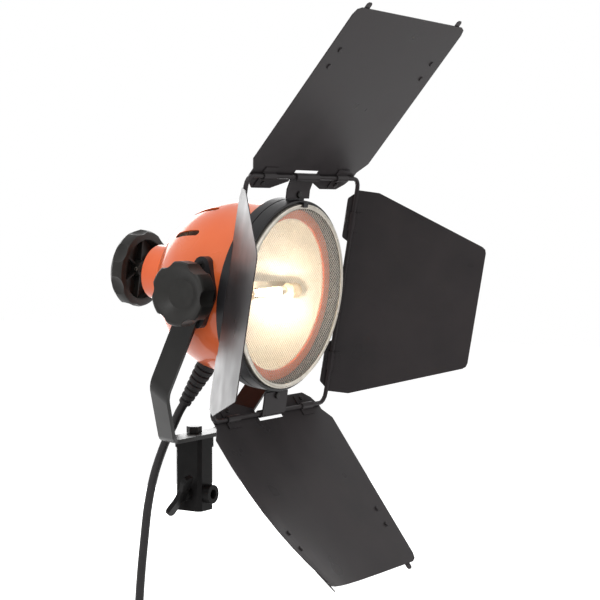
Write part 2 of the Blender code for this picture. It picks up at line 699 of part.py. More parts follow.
def terminal_block():
    """The ceramic terminal block on the baffle's rear face."""
    w, h, d = TERMINAL_SIZE
    rear = BAFFLE_REAR - GAP - d
    middle = -TERMINAL_DROP
    return piece("terminal_block", block((-w / 2, middle - h / 2, rear), (w / 2, middle + h / 2, rear + d)),
                 CERAMIC, OPTICAL_AXIS)


def lens_of_two_circles(big, small, offset, steps):
    """Outline of a round boss with a smaller round lug above and below it."""
    lean = math.asin((big - small) / offset)
    points = arc((0, 0), big, -lean, lean, steps)
    points += arc((0, offset), small, lean, math.pi - lean, 2 * steps)
    points += arc((0, 0), big, math.pi - lean, math.pi + lean, steps)
    points += arc((0, -offset), small, math.pi + lean, 2 * math.pi - lean, 2 * steps)
    return points


def side_plate(name, sign):
    """The plate that the yoke's arm bears on, hollowed to fit the bell."""
    outline = lens_of_two_circles(SIDE_PLATE_HALF_WIDTH, SIDE_PLATE_END_RADIUS, SIDE_SCREW_OFFSET, 4)
    lay = Matrix.Rotation(math.radians(90), 4, "Y")
    low, high = sorted((sign * (BELL_RADIUS - SIDE_PLATE_REACH), sign * SIDE_PLATE_FACE))
    made = piece(name, prism([(-a, y) for a, y in outline], low, high, lay), BLACK_PAINT, OPTICAL_AXIS)
    past = BELL_RADIUS + THROUGH
    cutter(made, rod(BELL_RADIUS + GAP, -2 * SIDE_PLATE_HALF_WIDTH, 2 * SIDE_PLATE_HALF_WIDTH, 56))
    cutter(made, rod(TILT_BOLT_RADIUS + GAP, -past, past, 16, ALONG_X))
    depth = SIDE_PLATE_FACE - SIDE_SCREW_HEAD_LENGTH - 2 * GAP
    for place_y in (SIDE_SCREW_OFFSET, -SIDE_SCREW_OFFSET):
        hole = Matrix.Translation((0, place_y, 0)) @ ALONG_X
        cutter(made, rod(SIDE_SCREW_RADIUS + GAP, -past, past, 10, hole))
        low, high = sorted((sign * depth, sign * past))
        cutter(made, rod(SIDE_SCREW_HEAD + GAP, low, high, 14, hole))
    return made


def side_screw(name, sign, place_y):
    """A plate screw, sunk below the face that the arm turns on."""
    face = SIDE_PLATE_FACE - GAP
    shoulder = face - SIDE_SCREW_HEAD_LENGTH
    tip = BELL_RADIUS - SIDE_SCREW_REACH
    outline = [(0, tip), (SIDE_SCREW_RADIUS, tip), (SIDE_SCREW_RADIUS, shoulder), (SIDE_SCREW_HEAD, shoulder),
               (SIDE_SCREW_HEAD, face), (0, face)]
    turn = ALONG_X if sign > 0 else ALONG_MINUS_X
    return piece(name, turned(outline, 12, Matrix.Translation((0, place_y, 0)) @ turn), DARK_SCREW, OPTICAL_AXIS)


def tilt_bolt(name, sign):
    """The bolt from inside the bell through the plate and the yoke's eye."""
    shoulder = BELL_RADIUS - BELL_WALL - 3 * GAP
    arm = SIDE_PLATE_FACE + GAP + YOKE_BAR_THICKNESS
    tip = arm + PIVOT_NUT_LENGTH - PIVOT_NUT_ROOM
    low = shoulder - TILT_BOLT_HEAD_LENGTH
    outline = [(0, low), (TILT_BOLT_HEAD, low), (TILT_BOLT_HEAD, shoulder), (TILT_BOLT_RADIUS, shoulder),
               (TILT_BOLT_RADIUS, tip), (0, tip)]
    turn = ALONG_X if sign > 0 else ALONG_MINUS_X
    return piece(name, turned(outline, 16, turn), ZINC, OPTICAL_AXIS)


def pivot_nut():
    """The domed nut on the far bolt."""
    low = SIDE_PLATE_FACE + 2 * GAP + YOKE_BAR_THICKNESS
    bore = TILT_BOLT_RADIUS + GAP
    high = low + PIVOT_NUT_LENGTH
    floor = high - PIVOT_NUT_ROOM + GAP
    outline = [(0, floor), (bore, floor), (bore, low), (PIVOT_NUT_RADIUS, low),
               (PIVOT_NUT_RADIUS, high - PIVOT_NUT_ROOM), (PIVOT_NUT_RADIUS - 0.003, high), (0, high)]
    bm = turned(outline, 16, ALONG_X)
    return piece("pivot_nut", bm, ZINC, OPTICAL_AXIS)


def scalloped(radius, depth, notches, points, weight):
    """A ring of points, drawn in at each finger notch."""
    ring = []
    for k in range(points):
        turn = 2 * math.pi * k / points
        dip = (0.5 + 0.5 * math.cos(notches * turn)) ** 2
        reach = radius - weight * depth * dip
        ring.append((reach * math.cos(turn), reach * math.sin(turn)))
    return ring


def knob_rings(levels, depth, notches, points):
    """Rings of a scalloped knob from (height, radius, scallop weight) levels."""
    rings = []
    for height, radius, weight in levels:
        if radius == 0:
            rings.append([(0, 0, height)])
            continue
        rings.append([(x, y, height) for x, y in scalloped(radius, depth, notches, points, weight)])
    return rings


def tilt_knob(parent):
    """The scalloped hand knob on the near bolt, with a dished face."""
    low = SIDE_PLATE_FACE + 2 * GAP + YOKE_BAR_THICKNESS
    high = low + TILT_KNOB_LENGTH
    back = high - TILT_KNOB_BODY
    bore = TILT_BOLT_RADIUS + GAP
    floor = low + PIVOT_NUT_LENGTH
    r = TILT_KNOB_RADIUS
    levels = ((floor, 0, 0), (floor, bore, 0), (low, bore, 0), (low, TILT_KNOB_HUB, 0), (back, TILT_KNOB_HUB, 0),
              (back, r - 0.006, 0.5), (back + 0.003, r - 0.001, 1), (high - 0.004, r, 1), (high, r - 0.003, 1),
              (high - 0.001, r - 0.0055, 0.6), (high - TILT_KNOB_DISH, TILT_KNOB_DISC, 0),
              (high - TILT_KNOB_DISH, 0, 0))
    rings = knob_rings(levels, TILT_KNOB_SCALLOP, TILT_KNOB_NOTCHES, 30)
    return piece("tilt_knob", loft(rings, ALONG_MINUS_X), KNOB_PLASTIC, parent)


def focus_knob(parent):
    """The hollow scalloped focus knob on the end of its shaft."""
    rear = FOCUS_KNOB_RIM - FOCUS_KNOB_LENGTH
    floor = FOCUS_KNOB_RIM - FOCUS_KNOB_DEPTH
    bore = SHAFT_RADIUS + GAP
    r = FOCUS_KNOB_RADIUS
    blind = floor - SHAFT_SOCKET
    hub_end = FOCUS_KNOB_RIM - FOCUS_HUB_DROP
    levels = ((blind, 0, 0), (blind, bore, 0), (hub_end, bore, 0), (hub_end, FOCUS_KNOB_HUB, 0),
              (floor, FOCUS_KNOB_HUB, 0),
              (floor, FOCUS_KNOB_BORE, 0), (FOCUS_KNOB_RIM, FOCUS_KNOB_BORE, 0),
              (FOCUS_KNOB_RIM, r - 0.003, 0.8), (FOCUS_KNOB_RIM - 0.004, r, 1), (rear + 0.006, r, 1),
              (rear, r - 0.007, 0.5), (rear, 0, 0))
    rings = knob_rings(levels, FOCUS_KNOB_SCALLOP, FOCUS_KNOB_NOTCHES, 35)
    return piece("focus_knob", loft(rings), KNOB_PLASTIC, parent)


def focus_shaft(parent):
    """The shaft from the knob into the carriage's stem, with its collar."""
    floor = FOCUS_KNOB_RIM - FOCUS_KNOB_DEPTH - SHAFT_SOCKET + GAP
    seat = NECK_END + NECK_PLATE + GAP
    outline = [(0, floor), (SHAFT_RADIUS, floor), (SHAFT_RADIUS, seat), (SHAFT_COLLAR_RADIUS, seat),
               (SHAFT_COLLAR_RADIUS, seat + SHAFT_COLLAR_LENGTH), (SHAFT_RADIUS, seat + SHAFT_COLLAR_LENGTH),
               (SHAFT_RADIUS, SHAFT_FRONT), (0, SHAFT_FRONT)]
    return piece("focus_shaft", turned(outline, 16), ZINC, parent)


# Lamp carriage
def lamp_carriage(parent):
    """The sliding stem with the fork that holds the two lamp holders."""
    root = LAMP_AHEAD - FORK_FRONT_DROP
    stop = root - STEM_WALL
    outline = [(0, stop), (STEM_BORE, stop), (STEM_BORE, STEM_REAR), (STEM_RADIUS, STEM_REAR),
               (STEM_RADIUS, root + FORK_SHEET / 2), (0, root + FORK_SHEET / 2)]
    bm = turned(outline, 20)
    made = piece("lamp_carriage", bm, ZINC, parent)
    t = FORK_SHEET
    end = LAMP_HALF_LENGTH + GAP + HOLDER_LENGTH + GAP
    bend = LAMP_AHEAD - FORK_ARM
    half = [(FORK_PAD, root), (end + t, bend), (end + t, LAMP_AHEAD + 0.004), (end, LAMP_AHEAD + 0.004),
            (end, bend + t * 0.6), (FORK_PAD - 0.001, root + t)]
    outline = half + [(-x, z) for x, z in half[::-1]]
    turn = Matrix.Rotation(math.radians(90), 4, "X")
    strap = prism(outline, -FORK_HALF_WIDTH, FORK_HALF_WIDTH, turn)
    cutter(made, strap, "UNION")
    return made


def lamp_holder(name, sign, parent):
    """A ceramic holder for one end of the lamp."""
    low = LAMP_HALF_LENGTH + GAP
    turn = Matrix.Translation((0, 0, LAMP_AHEAD)) @ (ALONG_X if sign > 0 else ALONG_MINUS_X)
    bm = turned([(0, low), (HOLDER_RADIUS - 0.001, low), (HOLDER_RADIUS, low + 0.001),
                 (HOLDER_RADIUS, low + HOLDER_LENGTH), (0, low + HOLDER_LENGTH)], 20, turn)
    return piece(name, bm, CERAMIC, parent)


def lamp(parent):
    """The double-ended quartz lamp, across the optical axis."""
    end = LAMP_HALF_LENGTH
    outline = [(0, -end), (0.003, -end), (0.0032, 0.006 - end), (LAMP_RADIUS, 0.011 - end),
               (LAMP_RADIUS, end - 0.011), (0.0032, end - 0.006), (0.003, end), (0, end)]
    turn = Matrix.Translation((0, 0, LAMP_AHEAD)) @ ALONG_X
    return piece("lamp", turned(outline, 16, turn), QUARTZ, parent)


# Guard
def guard_ring():
    """The rolled ring round the wire guard."""
    rear = SLEEVE_FRONT + GAP
    wall = GUARD_RADIUS - GUARD_SHEET
    lip = GUARD_FRONT - GUARD_SHEET
    outline = [(GUARD_RADIUS, rear), (GUARD_RADIUS, GUARD_FRONT), (GUARD_BORE, GUARD_FRONT), (GUARD_BORE, lip),
               (wall, lip), (wall, rear)]
    return piece("guard_ring", turned(outline, 48), ZINC, OPTICAL_AXIS)


def wire_guard():
    """The guard as a flat lattice on the diagonal, coarser than the woven wire."""
    reach = GUARD_RADIUS - GUARD_SHEET - RUNNING_GAP
    half = MESH_WIRE / 2
    high = GUARD_FRONT - GUARD_SHEET - GAP
    low = high - MESH_THICKNESS
    count = int(reach / MESH_PITCH)
    inside = reach - 0.75 * MESH_PITCH
    spots = [(i, j) for i in range(-count, count + 1) for j in range(-count, count + 1)
             if math.hypot(i, j) * MESH_PITCH < inside]
    bm = bmesh.new()
    turn = Matrix.Rotation(math.radians(45), 4, "Z")

    def corner(x, y, z):
        return bm.verts.new(turn @ Vector((x, y, z)))

    ways = ((1, 0), (0, 1), (-1, 0), (0, -1))
    crossings = {}
    for i, j in spots:
        x, y = i * MESH_PITCH, j * MESH_PITCH
        ring = [(x + half, y - half), (x + half, y + half), (x - half, y + half), (x - half, y - half)]
        lower = [corner(a, b, low) for a, b in ring]
        upper = [corner(a, b, high) for a, b in ring]
        crossings[i, j] = (lower, upper)
        bm.faces.new(lower[::-1])
        bm.faces.new(upper)
    for (i, j), (lower, upper) in crossings.items():
        for side, (di, dj) in enumerate(ways):
            a, b = side, (side + 1) % 4
            start = (lower[a], lower[b], upper[b], upper[a])
            other = crossings.get((i + di, j + dj))
            if other is None:
                x, y = i * MESH_PITCH, j * MESH_PITCH
                along = x * di + y * dj
                across = abs(x * dj) + abs(y * di) + half
                length = math.sqrt(reach * reach - across * across) - along - half
                move = turn.to_3x3() @ Vector((di, dj, 0)) * length
                ends = [bm.verts.new(v.co + move) for v in start]
                bm.faces.new(ends)
            elif side < 2:
                c, d = (side + 3) % 4, (side + 2) % 4
                ends = (other[0][c], other[0][d], other[1][d], other[1][c])
            else:
                continue
            for k in range(4):
                m = (k + 1) % 4
                bm.faces.new((start[k], start[m], ends[m], ends[k]))
    return piece("wire_guard", bm, ZINC, OPTICAL_AXIS)


def guard_clip(name, angle):
    """A small sprung hook over the guard ring's front edge."""
    half = GUARD_CLIP_WIDTH / 2
    inner = GUARD_RADIUS + GAP
    outer = inner + GUARD_CLIP_SHEET
    front = GUARD_FRONT + GAP
    rear = RIM_REAR + RIM_FLANGE + GAP + DOOR_RING_LENGTH + GAP
    outline = [(outer, rear), (outer, front + GUARD_CLIP_SHEET), (GUARD_BORE + 0.0015, front + GUARD_CLIP_SHEET),
               (GUARD_BORE + 0.0015, front), (inner, front), (inner, rear)]
    lay = Matrix.Rotation(angle, 4, "Z") @ Matrix.Rotation(math.radians(90), 4, "X")
    return piece(name, prism(outline, -half, half, lay), BLACK_PAINT, OPTICAL_AXIS)


# Barndoor
def door_ring(parent):
    """The ring that turns on the rim's sleeve, with an ear above and below."""
    rear = RIM_REAR + RIM_FLANGE + GAP
    front = rear + DOOR_RING_LENGTH
    bore = SLEEVE_RADIUS + GAP
    outline = [(bore, rear), (DOOR_RING_RADIUS, rear), (DOOR_RING_RADIUS, front), (bore, front)]
    made = piece("barndoor_ring", turned(outline, 48), BLACK_PAINT, parent)
    face = BRACKET_FOOT_AHEAD - GAP
    for sign in (1, -1):
        low, high = sorted((sign * (bore + 0.0015), sign * EAR_HEIGHT))
        ear = block((-EAR_HALF_WIDTH, low, face - EAR_THICKNESS), (EAR_HALF_WIDTH, high, face))
        cutter(made, ear, "UNION")
    for sign in (1, -1):
        hole = Matrix.Translation((0, sign * BRACKET_SCREW_HEIGHT, 0))
        cutter(made, rod(BRACKET_SCREW_RADIUS + GAP, face - 0.02, face + 0.01, 12, hole))
    return made


def strip(path, thickness):
    """The outline of a sheet that follows a path, half its thickness to each side."""
    left, right = [], []
    points = [Vector(p) for p in path]
    for i, here in enumerate(points):
        before = (here - points[i - 1]).normalized() if i else (points[1] - here).normalized()
        after = (points[i + 1] - here).normalized() if i < len(points) - 1 else before
        mitre = Vector((-before.y - after.y, before.x + after.x)).normalized()
        reach = thickness / 2 / mitre.dot(Vector((-before.y, before.x)))
        left.append(tuple(here + mitre * reach))
        right.append(tuple(here - mitre * reach))
    return left + right[::-1]


def rod_spot(sign):
    """Distance from the optical axis, and ahead of the tilt axis, of the top or bottom rod."""
    return (FRAME_HALF_HEIGHT * math.cos(FRAME_LEAN),
            FRAME_AHEAD + sign * FRAME_HALF_HEIGHT * math.sin(FRAME_LEAN))


def frame_bracket(name, sign, parent):
    """A strip from the ring's ear, curled round the frame's rod from its rear or its front."""
    radius = ROD_RADIUS + GAP + BRACKET_SHEET / 2
    foot = BRACKET_FOOT_AHEAD + BRACKET_SHEET / 2
    bend = Vector((BRACKET_BEND, foot))
    centre = Vector(rod_spot(sign))
    way = bend - centre
    lean = math.atan2(way.y, way.x)
    start = lean + sign * math.acos(radius / way.length)
    curl = arc(centre, radius, start, start + sign * math.radians(225), 9)
    path = [(BRACKET_FOOT, foot), tuple(bend)] + curl
    lay = Matrix(((0, 0, 1, 0), (1, 0, 0, 0), (0, 1, 0, 0), (0, 0, 0, 1)))
    flip = Matrix(((1, 0, 0, 0), (0, sign, 0, 0), (0, 0, 1, 0), (0, 0, 0, 1)))
    outline = strip(path, BRACKET_SHEET)
    made = piece(name, prism(outline, -BRACKET_HALF_WIDTH, BRACKET_HALF_WIDTH, flip @ lay), BLACK_PAINT, parent)
    hole = Matrix.Translation((0, sign * BRACKET_SCREW_HEIGHT, foot))
    cutter(made, rod(BRACKET_SCREW_RADIUS + GAP, -0.01, 0.01, 10, hole))
    return made


def bracket_screw(name, sign, parent):
    """The screw through a bracket's foot and the ear behind it."""
    face = BRACKET_FOOT_AHEAD + BRACKET_SHEET + GAP
    tail = BRACKET_FOOT_AHEAD - GAP - EAR_THICKNESS
    outline = [(0, tail), (BRACKET_SCREW_RADIUS, tail), (BRACKET_SCREW_RADIUS, face), (BRACKET_SCREW_HEAD, face),
               (BRACKET_SCREW_HEAD - 0.0008, face + 0.002), (0, face + 0.002)]
    lay = Matrix.Translation((0, sign * BRACKET_SCREW_HEIGHT, 0))
    return piece(name, turned(outline, 12, lay), DARK_SCREW, parent)


def door_frame(parent):
    """The closed rod frame that the four leaves hinge on."""
    w, h, r = FRAME_HALF_WIDTH, FRAME_HALF_HEIGHT, FRAME_CORNER
    route = rounded(((w, h, r), (-w, h, r), (-w, -h, r), (w, -h, r)), 4)
    curve = bpy.data.curves.new("door_frame", "CURVE")
    curve.dimensions = "3D"
    line = curve.splines.new("POLY")
    line.points.add(len(route) - 1)
    for point, (x, y) in zip(line.points, route):
        point.co = (x, y, 0, 1)
    line.use_cyclic_u = True
    curve.bevel_depth = ROD_RADIUS
    curve.bevel_resolution = 2
    return place("door_frame", curve, LEAF_PAINT, parent)


def sheet_levels():
    """Heights of a leaf's outer and inner face below the rod's centre."""
    inner = -(ROD_RADIUS + GAP)
    return inner - LEAF_SHEET, inner


def big_leaf_outline():
    """Outline of the top and the bottom leaf in (along the rod, outward)."""
    tab = BIG_TAB_DEPTH
    right = [(BIG_TAB_INNER, BIG_NOTCH_DEPTH, 0), (BIG_TAB_INNER, -tab * 0.47, 0),
             (BIG_TAB_OUTER - BIG_TAB_SLOPE, -tab, 0.003), (BIG_TAB_OUTER - BIG_TAB_CHAMFER, -tab, 0.003),
             (BIG_TAB_OUTER, -tab * 0.58, 0), (BIG_TAB_OUTER + 0.005, -0.002, 0),
             (BIG_LEAF_HINGE_HALF, -0.002, 0), (BIG_LEAF_HINGE_HALF, 0.006, 0),
             (BIG_LEAF_HALF_WIDTH, BIG_LEAF_SHOULDER, 0), (BIG_LEAF_HALF_WIDTH, BIG_LEAF_LENGTH, BIG_LEAF_CORNER)]
    left = [(-x, y, radius) for x, y, radius in right[::-1]]
    return rounded(right + left, 2)


def side_leaf_outline():
    """Outline of a side leaf, which narrows outward."""
    h, tab = SIDE_LEAF_HINGE_HALF, SIDE_TAB_DEPTH
    right = [(SIDE_TAB_INNER - 0.004, -0.0012, 0), (SIDE_TAB_INNER, -tab, 0.003), (h - 0.010, -tab, 0.003),
             (h - 0.004, -0.0012, 0), (h, -0.0012, 0), (h, SIDE_LEAF_SHOULDER, 0.004),
             (SIDE_LEAF_TIP_HALF, SIDE_LEAF_LENGTH, SIDE_LEAF_CORNER)]
    left = [(-x, y, radius) for x, y, radius in right[::-1]]
    return rounded(right + left, 2)


def flat(_x, _y):
    """The rise of a leaf that isn't bent."""
    return 0.0


def bent(x, y):
    """The rise of the bottom leaf, whose near outer corner is bowed up."""
    across = max(0, x / BIG_LEAF_HALF_WIDTH + 1) / 2
    along = max(0, y - BOW_START) / (BIG_LEAF_LENGTH - BOW_START)
    return BOW_RISE * across ** 5 * along ** 2.2


def lay_on(rise, x, y):
    """The frame of a spot on a bent leaf, its Z square to the sheet."""
    step = 0.0005
    slope_x = (rise(x + step, y) - rise(x - step, y)) / (2 * step)
    slope_y = (rise(x, y + step) - rise(x, y - step)) / (2 * step)
    up = Vector((-slope_x, -slope_y, 1))
    turn = Vector((0, 0, 1)).rotation_difference(up).to_matrix().to_4x4()
    return Matrix.Translation((x, y, rise(x, y))) @ turn


def leaf(name, bm, parent, rise=flat, rivets=()):
    """One leaf's sheet, behind the rod, with holes for its clips' rivets."""
    low, high = sheet_levels()
    made = piece(name, bm, LEAF_PAINT, parent)
    for x, y in rivets:
        cutter(made, rod(GEL_RIVET_RADIUS + GAP, low - 0.002, high + 0.002, 8, lay_on(rise, x, y)))
    return made


def bent_leaf():
    """The bottom leaf: a flat hinge side, and rows of points that follow the bend."""
    corner, length, wide = BIG_LEAF_CORNER, BIG_LEAF_LENGTH, BIG_LEAF_HALF_WIDTH
    rows = [(BIG_LEAF_SHOULDER, wide)] + [(length * share, wide) for share in BOW_ROWS]
    for turn in (0, 45, 90):
        step = math.radians(turn)
        rows.append((length - corner * (1 - math.sin(step)), wide - corner * (1 - math.cos(step))))
    hinge_side = [(x, y) for x, y in big_leaf_outline() if y < BIG_LEAF_SHOULDER - GAP]
    far_part = [spot for spot in hinge_side if spot[0] > 0]
    near_part = [spot for spot in hinge_side if spot[0] < 0]
    bm = bmesh.new()
    for level in sheet_levels():
        grid = []
        for y, half in rows:
            spots = [(2 * share - 1) * half for share in BOW_COLUMNS]
            grid.append([bm.verts.new((x, y, level + bent(x, y))) for x in spots])
        for below, above in zip(grid, grid[1:]):
            for k in range(len(BOW_COLUMNS) - 1):
                bm.faces.new((below[k], below[k + 1], above[k + 1], above[k]))
        edge = [bm.verts.new((x, y, level)) for x, y in far_part[::-1] + near_part[::-1]]
        bm.faces.new(grid[0][::-1] + edge[::-1])
    bmesh.ops.bridge_loops(bm, edges=[e for e in bm.edges if e.is_boundary])
    return bm


def hinge_strap(name, place_x, half, tab_foot, screw_place, parent):
    """A strap over the rod, screwed to the leaf's tab, that makes its hinge."""
    inner = ROD_RADIUS + GAP
    outer = inner + STRAP_SHEET
    foot = sheet_levels()[1] + GAP
    top = foot + STRAP_SHEET
    outer_start = math.asin(top / outer)
    inner_start = math.asin(foot / inner)
    outline = arc((0, 0), outer, math.pi - outer_start, outer_start, 6)
    outline += [(STRAP_LEAF_FOOT, top), (STRAP_LEAF_FOOT, foot)]
    outline += arc((0, 0), inner, inner_start, math.pi - inner_start, 6)
    outline += [(-tab_foot, foot), (-tab_foot, top)]
    lay = Matrix.Translation((place_x, 0, 0)) @ Matrix(((0, 0, 1, 0), (1, 0, 0, 0), (0, 1, 0, 0), (0, 0, 0, 1)))
    made = piece(name, prism(outline, -half, half, lay), LEAF_PAINT, parent)
    head = Matrix.Translation((place_x, -screw_place, 0))
    cutter(made, rod(STRAP_SCREW_RADIUS, top - 0.0003, top + STRAP_SCREW_LENGTH, 8, head), "UNION")
    return made


def gel_clip(name, place_x, parent, rise=flat):
    """A sprung strip riveted to the back of a leaf, past its outer edge."""
    low, high = sheet_levels()
    room = GAP if rise is flat else BEND_ROOM
    face = low - room
    half = GEL_CLIP_HALF_WIDTH
    end = BIG_LEAF_LENGTH + GEL_CLIP_OVERHANG
    reach = end - GEL_CLIP_START
    rows = [(GEL_CLIP_START, half / 2), (GEL_CLIP_START + 0.002, half)]
    rows += [(GEL_CLIP_START + reach * share, half) for share in (0.25, 0.5, 0.75)]
    rows += [(end - 0.002, half), (end, half / 2)]
    rings = []
    for y, reach in rows:
        back = face - GEL_CLIP_SHEET
        ring = [(place_x - reach, back), (place_x + reach, back), (place_x + reach, face), (place_x - reach, face)]
        rings.append([(x, y, level + rise(x, y)) for x, level in ring])
    made = piece(name, loft(rings), ZINC, parent)
    for place_y in GEL_RIVETS:
        rivet = [(0, face - 0.0004), (GEL_RIVET_RADIUS, face - 0.0004), (GEL_RIVET_RADIUS, high + room),
                 (GEL_RIVET_HEAD, high + room), (GEL_RIVET_HEAD - 0.0006, high + room + GEL_RIVET_HEAD_LENGTH),
                 (0, high + room + GEL_RIVET_HEAD_LENGTH)]
        cutter(made, turned(rivet, 8, lay_on(rise, place_x, place_y)), "UNION")
    return made


def barndoor():
    """The frame and its four leaves, each leaf on an empty on its rod."""
    door_ring(DOOR_AXIS)
    leaned = Matrix.Translation((0, 0, FRAME_AHEAD)) @ Matrix.Rotation(FRAME_LEAN, 4, "X")
    frame = axis_empty("frame_plane", leaned, DOOR_AXIS)
    door_frame(frame)
    for label, sign in (("top", 1), ("bottom", -1)):
        frame_bracket(f"bracket_{label}", sign, DOOR_AXIS)
        bracket_screw(f"bracket_screw_{label}", sign, DOOR_AXIS)
    leaves = (("top", 0, FRAME_HALF_HEIGHT, TOP_LEAF_OPEN), ("near", 90, FRAME_HALF_WIDTH, NEAR_LEAF_OPEN),
              ("bottom", 180, FRAME_HALF_HEIGHT, BOTTOM_LEAF_OPEN), ("far", 270, FRAME_HALF_WIDTH, FAR_LEAF_OPEN))
    for label, turn, distance, opening in leaves:
        lay = Matrix.Rotation(math.radians(turn), 4, "Z") @ Matrix.Translation((0, distance, 0))
        hinge = axis_empty(f"hinge_{label}", lay @ Matrix.Rotation(math.pi / 2 - opening, 4, "X"), frame)
        low, high = sheet_levels()
        if label in ("top", "bottom"):
            rivets = [(sign * GEL_CLIP_PLACE, y) for sign in (1, -1) for y in GEL_RIVETS]
            rise = flat if label == "top" else bent
            sheet = prism(big_leaf_outline(), low, high) if label == "top" else bent_leaf()
            leaf(f"leaf_{label}", sheet, hinge, rise, rivets)
            for number, sign in enumerate((1, -1), 1):
                gel_clip(f"gel_clip_{label}_{number}", sign * GEL_CLIP_PLACE, hinge, rise)
                hinge_strap(f"strap_{label}_{number}", sign * BIG_STRAP_PLACE, BIG_STRAP_HALF, STRAP_TAB_FOOT,
                            STRAP_SCREW_PLACE, hinge)
        else:
            leaf(f"leaf_{label}", prism(side_leaf_outline(), low, high), hinge)
            for number, sign in enumerate((1, -1), 1):
                hinge_strap(f"strap_{label}_{number}", sign * SIDE_STRAP_PLACE, SIDE_STRAP_HALF,
                            SIDE_STRAP_TAB_FOOT, SIDE_STRAP_SCREW_PLACE, hinge)


# Mains lead
def relief_direction():
    """Which way the strain relief points in the head's frame, away from the tilt axis."""
    return Vector((0, -math.sin(RELIEF_DROP_ANGLE), -math.cos(RELIEF_DROP_ANGLE)))


def relief_turn():
    """Turns local Z onto the strain relief's axis."""
    return Vector((0, 0, 1)).rotation_difference(relief_direction()).to_matrix().to_4x4()


def strain_relief():
    """The ribbed sleeve where the lead leaves the bell, tapered to its tip."""
    top = BELL_RADIUS - BELL_CENTRE * math.cos(RELIEF_DROP_ANGLE)
    start = top + RELIEF_NUT_LENGTH
    length = RELIEF_END - start
    outline = [(0, RELIEF_STEM_START), (RELIEF_STEM_RADIUS, RELIEF_STEM_START), (RELIEF_STEM_RADIUS, start)]
    for k in range(RELIEF_RIBS):
        t = k / RELIEF_RIBS
        radius = RELIEF_BASE_RADIUS + (RELIEF_TIP_RADIUS - RELIEF_BASE_RADIUS) * t
        low = start + length * t
        outline += [(radius - RELIEF_RIB_DEPTH, low), (radius, low + 0.4 * length / RELIEF_RIBS)]
    outline += [(RELIEF_TIP_RADIUS, RELIEF_END), (0, RELIEF_END)]
    made = piece("strain_relief", turned(outline, 12, relief_turn()), RUBBER, OPTICAL_AXIS)
    nut = rod(RELIEF_NUT_RADIUS, top - RELIEF_NUT_LENGTH, start + 0.001, 12, relief_turn())
    collar = cutter(made, nut, "UNION")
    ball = sphere_outline(BELL_RADIUS + GAP, BELL_CENTRE, 0, BELL_RADIUS, 16)
    bowl = [(0, ball[0][1])] + ball[1:] + [(0, ball[-1][1])]
    cutter(collar, turned(bowl, 48))
    return made


def relief_mouth():
    """Where the lead starts, and which way it runs there, in world space."""
    head = Matrix.Translation((0, -TILT_AXIS_AHEAD, TILT_AXIS_HEIGHT)) @ Matrix.Rotation(HEAD_PITCH, 4, "X")
    head = head @ ALONG_MINUS_Y
    u = relief_direction()
    return head @ (u * (RELIEF_END + GAP)), head.to_3x3() @ u


def smooth_route(knots, step):
    """Points a step apart on a smooth curve through the knots."""
    dense = []
    padded = [knots[0] * 2 - knots[1]] + knots + [knots[-1] * 2 - knots[-2]]
    for a, b, c, d in zip(padded, padded[1:], padded[2:], padded[3:]):
        for k in range(40):
            t = k / 40
            dense.append(0.5 * ((2 * b) + (c - a) * t + (2 * a - 5 * b + 4 * c - d) * t ** 2
                                + (3 * b - a - 3 * c + d) * t ** 3))
    dense.append(knots[-1])
    lengths = [0.0]
    for a, b in zip(dense, dense[1:]):
        lengths.append(lengths[-1] + (b - a).length)
    count = max(2, round(lengths[-1] / step))
    points = []
    index = 0
    for k in range(count + 1):
        want = lengths[-1] * k / count
        while index < len(lengths) - 2 and lengths[index + 1] < want:
            index += 1
        span = lengths[index + 1] - lengths[index]
        share = (want - lengths[index]) / span if span else 0
        points.append(dense[index].lerp(dense[index + 1], min(1, share)))
    return points, lengths[-1]


def tube(name, points, resolution, material):
    """A round tube along points, closed at both ends."""
    curve = bpy.data.curves.new(name, "CURVE")
    curve.dimensions = "3D"
    line = curve.splines.new("POLY")
    line.points.add(len(points) - 1)
    for point, co in zip(line.points, points):
        point.co = (*co, 1)
    curve.bevel_depth = CORD_RADIUS
    curve.bevel_resolution = resolution
    curve.use_fill_caps = True
    return place(name, curve, material, ROOT)


def coil_points():
    """The coil's centre line: in over one layer, across, and out over the next."""
    pitch = 2 * CORD_RADIUS + COIL_SPACING
    y0, z0 = COIL_START
    outer = COIL_MEAN_RADIUS + pitch * (COIL_TURNS - 0.5) / 2
    centre = Vector((outer, y0, z0 - 2 * CORD_RADIUS))
    steps = COIL_TURNS * COIL_POINTS
    points = [Vector((0, y0, z0 - GAP))]
    for k in range(2 * steps + 1):
        inward = min(k, 2 * steps - k)
        radius = outer - pitch * inward / COIL_POINTS
        climb = min(1, max(0, (k - steps + COIL_POINTS / 4) / (COIL_POINTS / 2)))
        ease = climb * climb * (3 - 2 * climb)
        angle = math.pi + 2 * math.pi * k / COIL_POINTS
        points.append(centre + Vector((radius * math.cos(angle), pitch * ease, radius * math.sin(angle))))
    points.append(points[-1] + Vector((0, 0, -COIL_TAIL)))
    return points, centre, outer, pitch


def least_gap(points):
    """The least clear distance between stretches of the coil that aren't neighbours."""
    fine = []
    for a, b in zip(points, points[1:]):
        fine += [a.lerp(b, k / 4) for k in range(4)]
    fine = np.array([tuple(p) for p in fine + [points[-1]]])
    apart = 4 * COIL_POINTS // 2
    least = 1.0
    for k in range(len(fine) - apart):
        least = min(least, float(np.linalg.norm(fine[k + apart:] - fine[k], axis=1).min()))
    return least - 2 * CORD_RADIUS


